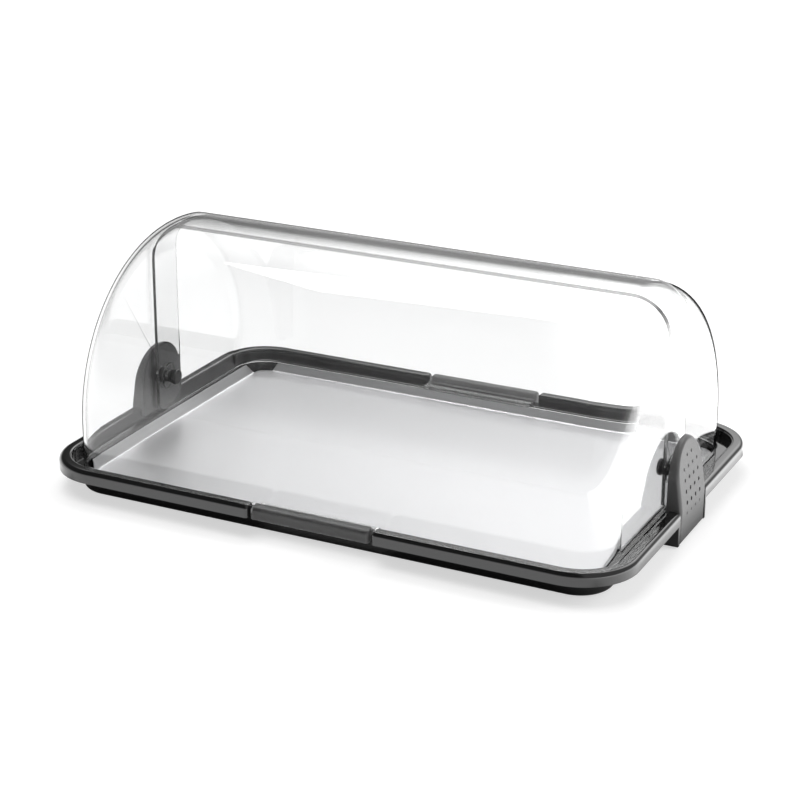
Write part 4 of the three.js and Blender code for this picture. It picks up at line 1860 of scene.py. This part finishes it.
@dataclass
class SmallParts:
    """Screws of the uprights and feet of the base."""

    seat: float = 249.7
    tip: float = 264.5
    head: float = 2.0
    head_radius: float = 3.6
    dome: tuple[Flat, ...] = ((0.0, 1.2), (0.1, 2.4), (0.6, 3.3))
    dome_height: float = 1.2
    shank: float = 2.0
    core: float = 1.6
    point: float = 0.6
    point_length: float = 1.0
    thread_start: float = 3.0
    thread_rest: float = 5.0
    thread_rise: float = 0.5
    threads: int = 9
    screw_sides: int = 24
    slot_half: float = 0.45
    slot_reach: float = 2.6
    slot_floor: float = 0.9
    slot_overrun: float = 1.0
    foot: tuple[Flat, ...] = (
        (0.5, 5.6), (0.0, 6.4), (0.0, 8.4), (0.35, 8.9), (0.9, 9.0), (2.1, 9.0), (2.4, 8.7))

    @staticmethod
    def names(stem: str) -> list[str]:
        """The four solids of one kind, front ones first."""
        return [f"{stem}_{place}_{side.label}" for place in ("front", "back") for side in Side]

    def screws(self, rows: RowRepeater) -> Piece:
        """Four screws with a slotted, rounded head.

        Args:
            rows: the tree that repeats them.

        Returns:
            The finished piece.
        """
        head, wide, reach = self.head, self.head_radius, self.tip - self.seat
        profile = [(-head + x, r) for x, r in self.dome]
        profile += [(-head + self.dome_height, wide), (0.0, wide), (0.0, self.shank)]
        for i in range(self.threads):
            x = self.thread_start + (reach - self.thread_rest) * i / self.threads
            profile += [(x, self.core), (x + self.thread_rise, self.shank)]
        profile += [(reach - self.point_length, self.core), (reach, self.point)]
        former, slot = Former(), Former()
        former.turned(profile, (0, 0), self.screw_sides)
        screw = former.object("bracket_screw_set")
        slot.box(
            (-head - self.slot_overrun, -self.slot_half, -self.slot_reach),
            (-head + self.slot_floor, self.slot_half, self.slot_reach),
        )
        combine(screw, [slot.object("slot")], Cut.REMOVE)
        material = SCREW_STEEL.material()
        rows.four(screw, material, (self.seat, SCREW_Y, SCREW_Z), inwards=True)
        return finish_piece(screw, "base", material, self.names("bracket_screw"))

    def feet(self, rows: RowRepeater) -> Piece:
        """Four round feet with a soft edge and a dished middle.

        Args:
            rows: the tree that repeats them.

        Returns:
            The finished piece.
        """
        former = Former()
        former.stack([[(x, y, z) for x, y in circle((0, 0), r, FOOT_SIDES)] for z, r in self.foot])
        foot, material = former.object("foot_set"), RUBBER.material()
        rows.four(foot, material, (FOOT_X, FOOT_Y, 0))
        return finish_piece(foot, "base", material, self.names("foot"))

    def build(self, rows: RowRepeater) -> list[Piece]:
        """Build and dress them all."""
        return [self.screws(rows), self.feet(rows)]


@dataclass
class InnerMounts:
    """The inner plates of the uprights, whose solids are shown as they are."""

    def build(self, nodes: dict[str, Piece]) -> None:
        """Dress the solids.

        Args:
            nodes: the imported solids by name.
        """
        for side in Side:
            mesh = nodes[f"bracket_mount_{side.label}"].data
            mesh.materials.clear()
            mesh.materials.append(GREY_SATIN.material())
            LOG.info("bracket_mount_%s dressed", side.label)


# Studio


@dataclass(frozen=True)
class Lamp:
    """A soft lamp, with its place, aim and size in metres and its power in watts."""

    name: str
    place: Point
    aim: Point
    size: Flat
    power: float
    mirrored: bool = False

    def build(self) -> None:
        """Hang the lamp, which shows in glossy and clear surfaces only if it is mirrored."""
        data = bpy.data.lights.new(self.name, "AREA")
        data.shape = "RECTANGLE"
        data.size, data.size_y = self.size
        data.energy = self.power
        lamp = placed(self.name, data)
        lamp.visible_glossy = lamp.visible_transmission = self.mirrored
        back = (Vector(self.place) - Vector(self.aim)).normalized()
        turn = back.to_track_quat("Z", "Y").to_matrix().to_4x4()
        lamp.matrix_world = Matrix.Translation(Vector(self.place)) @ turn


LAMPS = (
    Lamp("strip", (-0.35, 0.7, 1.85), (0, 0, 0), (1.5, 0.4), 11, mirrored=True),
    Lamp("overhead", (-0.3, -0.5, 1.8), (0, 0, 0), (1.6, 1.2), 19),
    Lamp("right", (1.6, 0.6, 0.8), (0.3, 0.1, 0), (1.2, 0.9), 20),
)


@dataclass
class Studio:
    """Floor, lamps, surroundings and the camera."""

    lens: float = 95.07
    azimuth: float = 26.13
    elevation: float = 21.06
    roll: float = 0.30
    distance: float = 1966.1
    shift: Flat = (-4.6, 70.4)
    lift: float = 1.0
    farthest: float = 50.0
    floor_half: float = 6000.0
    pale: float = 0.5
    soft_level: float = 0.22
    glow: Flat = (0.6, 1.05)
    glow_reach: Flat = (0.15, 1.4)
    # glow of the floor seen in reflections only: painted light, brighter toward the right
    mirror: Flat = (0.65, 1.9)
    mirror_reach: Flat = (0.15, 0.36)
    # painted contact shadow in reflections: the glow fades out right at the base
    contact_reach: Flat = (0.0, 0.035)
    toward_right: Point = (0.9, 0.45, 0.0)
    side: Point = (0.866, 0.5, 0.0)
    side_reach: Flat = (-0.06, 0.05)
    side_level: Flat = (0.06, 0.36)
    lobe: Point = (-0.059, 0.679, 0.731)
    lobe_reach: Flat = (0.8, 0.98)
    lobe_level: float = 2.2
    horizon_reach: Flat = (0.0, 0.35)
    horizon: float = 1.0
    through: float = 0.3

    def camera(self) -> None:
        """The camera at the photograph's angle."""
        a, e, r = (math.radians(v) for v in (self.azimuth, self.elevation, self.roll))
        back = Vector((math.sin(a) * math.cos(e), -math.cos(a) * math.cos(e), math.sin(e)))
        right = Vector((math.cos(a), math.sin(a), 0))
        up = back.cross(right)
        right, up = math.cos(r) * right + math.sin(r) * up, -math.sin(r) * right + math.cos(r) * up
        data = bpy.data.cameras.new("camera")
        data.lens = self.lens
        data.clip_end = self.farthest
        camera = placed("camera", data)
        spot = right * self.shift[0] + up * self.shift[1] + back * self.distance + Vector((0, 0, self.lift))
        turn = Matrix((right, up, back)).transposed().to_4x4()
        camera.matrix_world = Matrix.Translation(spot * METRES) @ turn
        bpy.context.scene.camera = camera

    def outside_base(self, tree: Tree, place: Socket) -> Socket:
        """How far a point of the floor lies outside the outline of the base.

        Args:
            tree: where the nodes go.
            place: the point.

        Returns:
            The distance in metres, zero under the base.
        """
        past = [
            maths(tree, "SUBTRACT", distance_along(tree, place, axis), half * METRES)
            for axis, half in enumerate((HALF_LENGTH, HALF_DEPTH))
        ]
        return chained(tree, "MAXIMUM", *past, 0.0)

    def floor(self) -> None:
        """Pale floor that looks white and keeps the shadow, and for glossy rays glows with painted light,
        brighter toward the right, with painted contact shade at the base.
        """
        former, half = Former(), self.floor_half
        corners = [(-half, -half, 0), (half, -half, 0), (half, half, 0), (-half, half, 0)]
        former.bm.faces.new(former.ring(corners))
        floor = former.object("floor")
        material = bpy.data.materials.new("floor")
        tree = empty_tree(material)
        add, link = tree.nodes.new, tree.links.new
        output, shader = add("ShaderNodeOutputMaterial"), add("ShaderNodeBsdfDiffuse")
        light, both = add("ShaderNodeEmission"), add("ShaderNodeAddShader")
        shader.inputs["Color"].default_value = (*grey(self.pale), 1)
        rays, place = add("ShaderNodeLightPath"), add("ShaderNodeTexCoord").outputs["Object"]
        away = self.outside_base(tree, place)
        seen = maths(tree, "MAXIMUM", rays.outputs["Is Camera Ray"], rays.outputs["Is Transmission Ray"])
        direct = maths(tree, "MULTIPLY", spread(tree, away, self.glow_reach, self.glow), seen)
        # painted light and shade for glossy rays: the floor glows brighter toward the right and fades to a
        # painted contact shadow at the base
        level = spread(tree, toward(tree, place, self.toward_right), self.mirror_reach, self.mirror)
        painted_contact_shade = spread(tree, away, self.contact_reach)
        reflected = chained(tree, "MULTIPLY", level, painted_contact_shade, rays.outputs["Is Glossy Ray"])
        link(maths(tree, "MAXIMUM", direct, reflected), light.inputs["Strength"])
        link(shader.outputs[0], both.inputs[0])
        link(light.outputs[0], both.inputs[1])
        link(both.outputs[0], output.inputs["Surface"])
        floor.data.materials.append(material)

    def surroundings(self) -> None:
        """White seen directly, and for mirrors paler behind the case and darker behind the camera."""
        world = bpy.data.worlds.new("studio")
        bpy.context.scene.world = world
        tree = empty_tree(world)
        add, link = tree.nodes.new, tree.links.new
        output, pick = add("ShaderNodeOutputWorld"), add("ShaderNodeMixShader")
        soft, seen = add("ShaderNodeBackground"), add("ShaderNodeBackground")
        soft.inputs["Strength"].default_value = self.soft_level
        for node in (soft, seen):
            node.inputs["Color"].default_value = (1, 1, 1, 1)
        rays, place = add("ShaderNodeLightPath"), add("ShaderNodeTexCoord").outputs["Generated"]
        kinds = ("Camera", "Glossy", "Transmission")
        direct, glossy, through = (rays.outputs[f"Is {kind} Ray"] for kind in kinds)
        side = spread(tree, toward(tree, place, self.side), self.side_reach, self.side_level)
        low = spread(tree, toward(tree, place, (0, 0, 1)), self.horizon_reach, (self.horizon, 0.0))
        lobe = spread(tree, toward(tree, place, self.lobe), self.lobe_reach, (0.0, self.lobe_level))
        behind = maths(tree, "MULTIPLY", through, self.through)
        reflected = maths(tree, "MULTIPLY", glossy, chained(tree, "MAXIMUM", side, low, lobe))
        link(chained(tree, "MAXIMUM", direct, behind, reflected), seen.inputs["Strength"])
        link(chained(tree, "MAXIMUM", direct, glossy, through), pick.inputs[0])
        link(soft.outputs[0], pick.inputs[1])
        link(seen.outputs[0], pick.inputs[2])
        link(pick.outputs[0], output.inputs["Surface"])

    def build(self) -> None:
        """Build the whole studio."""
        self.camera()
        self.floor()
        self.surroundings()
        for lamp in LAMPS:
            lamp.build()
        bpy.context.scene.view_settings.view_transform = "Standard"


def clear_scene() -> None:
    """Remove what a new file holds."""
    for thing in list(bpy.data.objects):
        bpy.data.objects.remove(thing)


def main() -> None:
    """Build the case in order round its solids."""
    logging.basicConfig(level=logging.INFO, format="%(message)s")
    clear_scene()
    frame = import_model()
    rows = RowRepeater()
    Studio().build()
    BaseTray().build(rows)
    DisplayTray().build()
    Hood(Place.FRONT, radius=164.0, end=261.0, past=24.0, hub_outside=True).build()
    Hood(Place.BACK, radius=160.0, end=257.0, past=19.0, hub_outside=False).build()
    for side in Side:
        Upright(side).build(rows)
        Pivot(side).build()
    InnerMounts().build(frame["nodes"])
    SmallParts().build(rows)


if __name__ == "__main__":
    main()
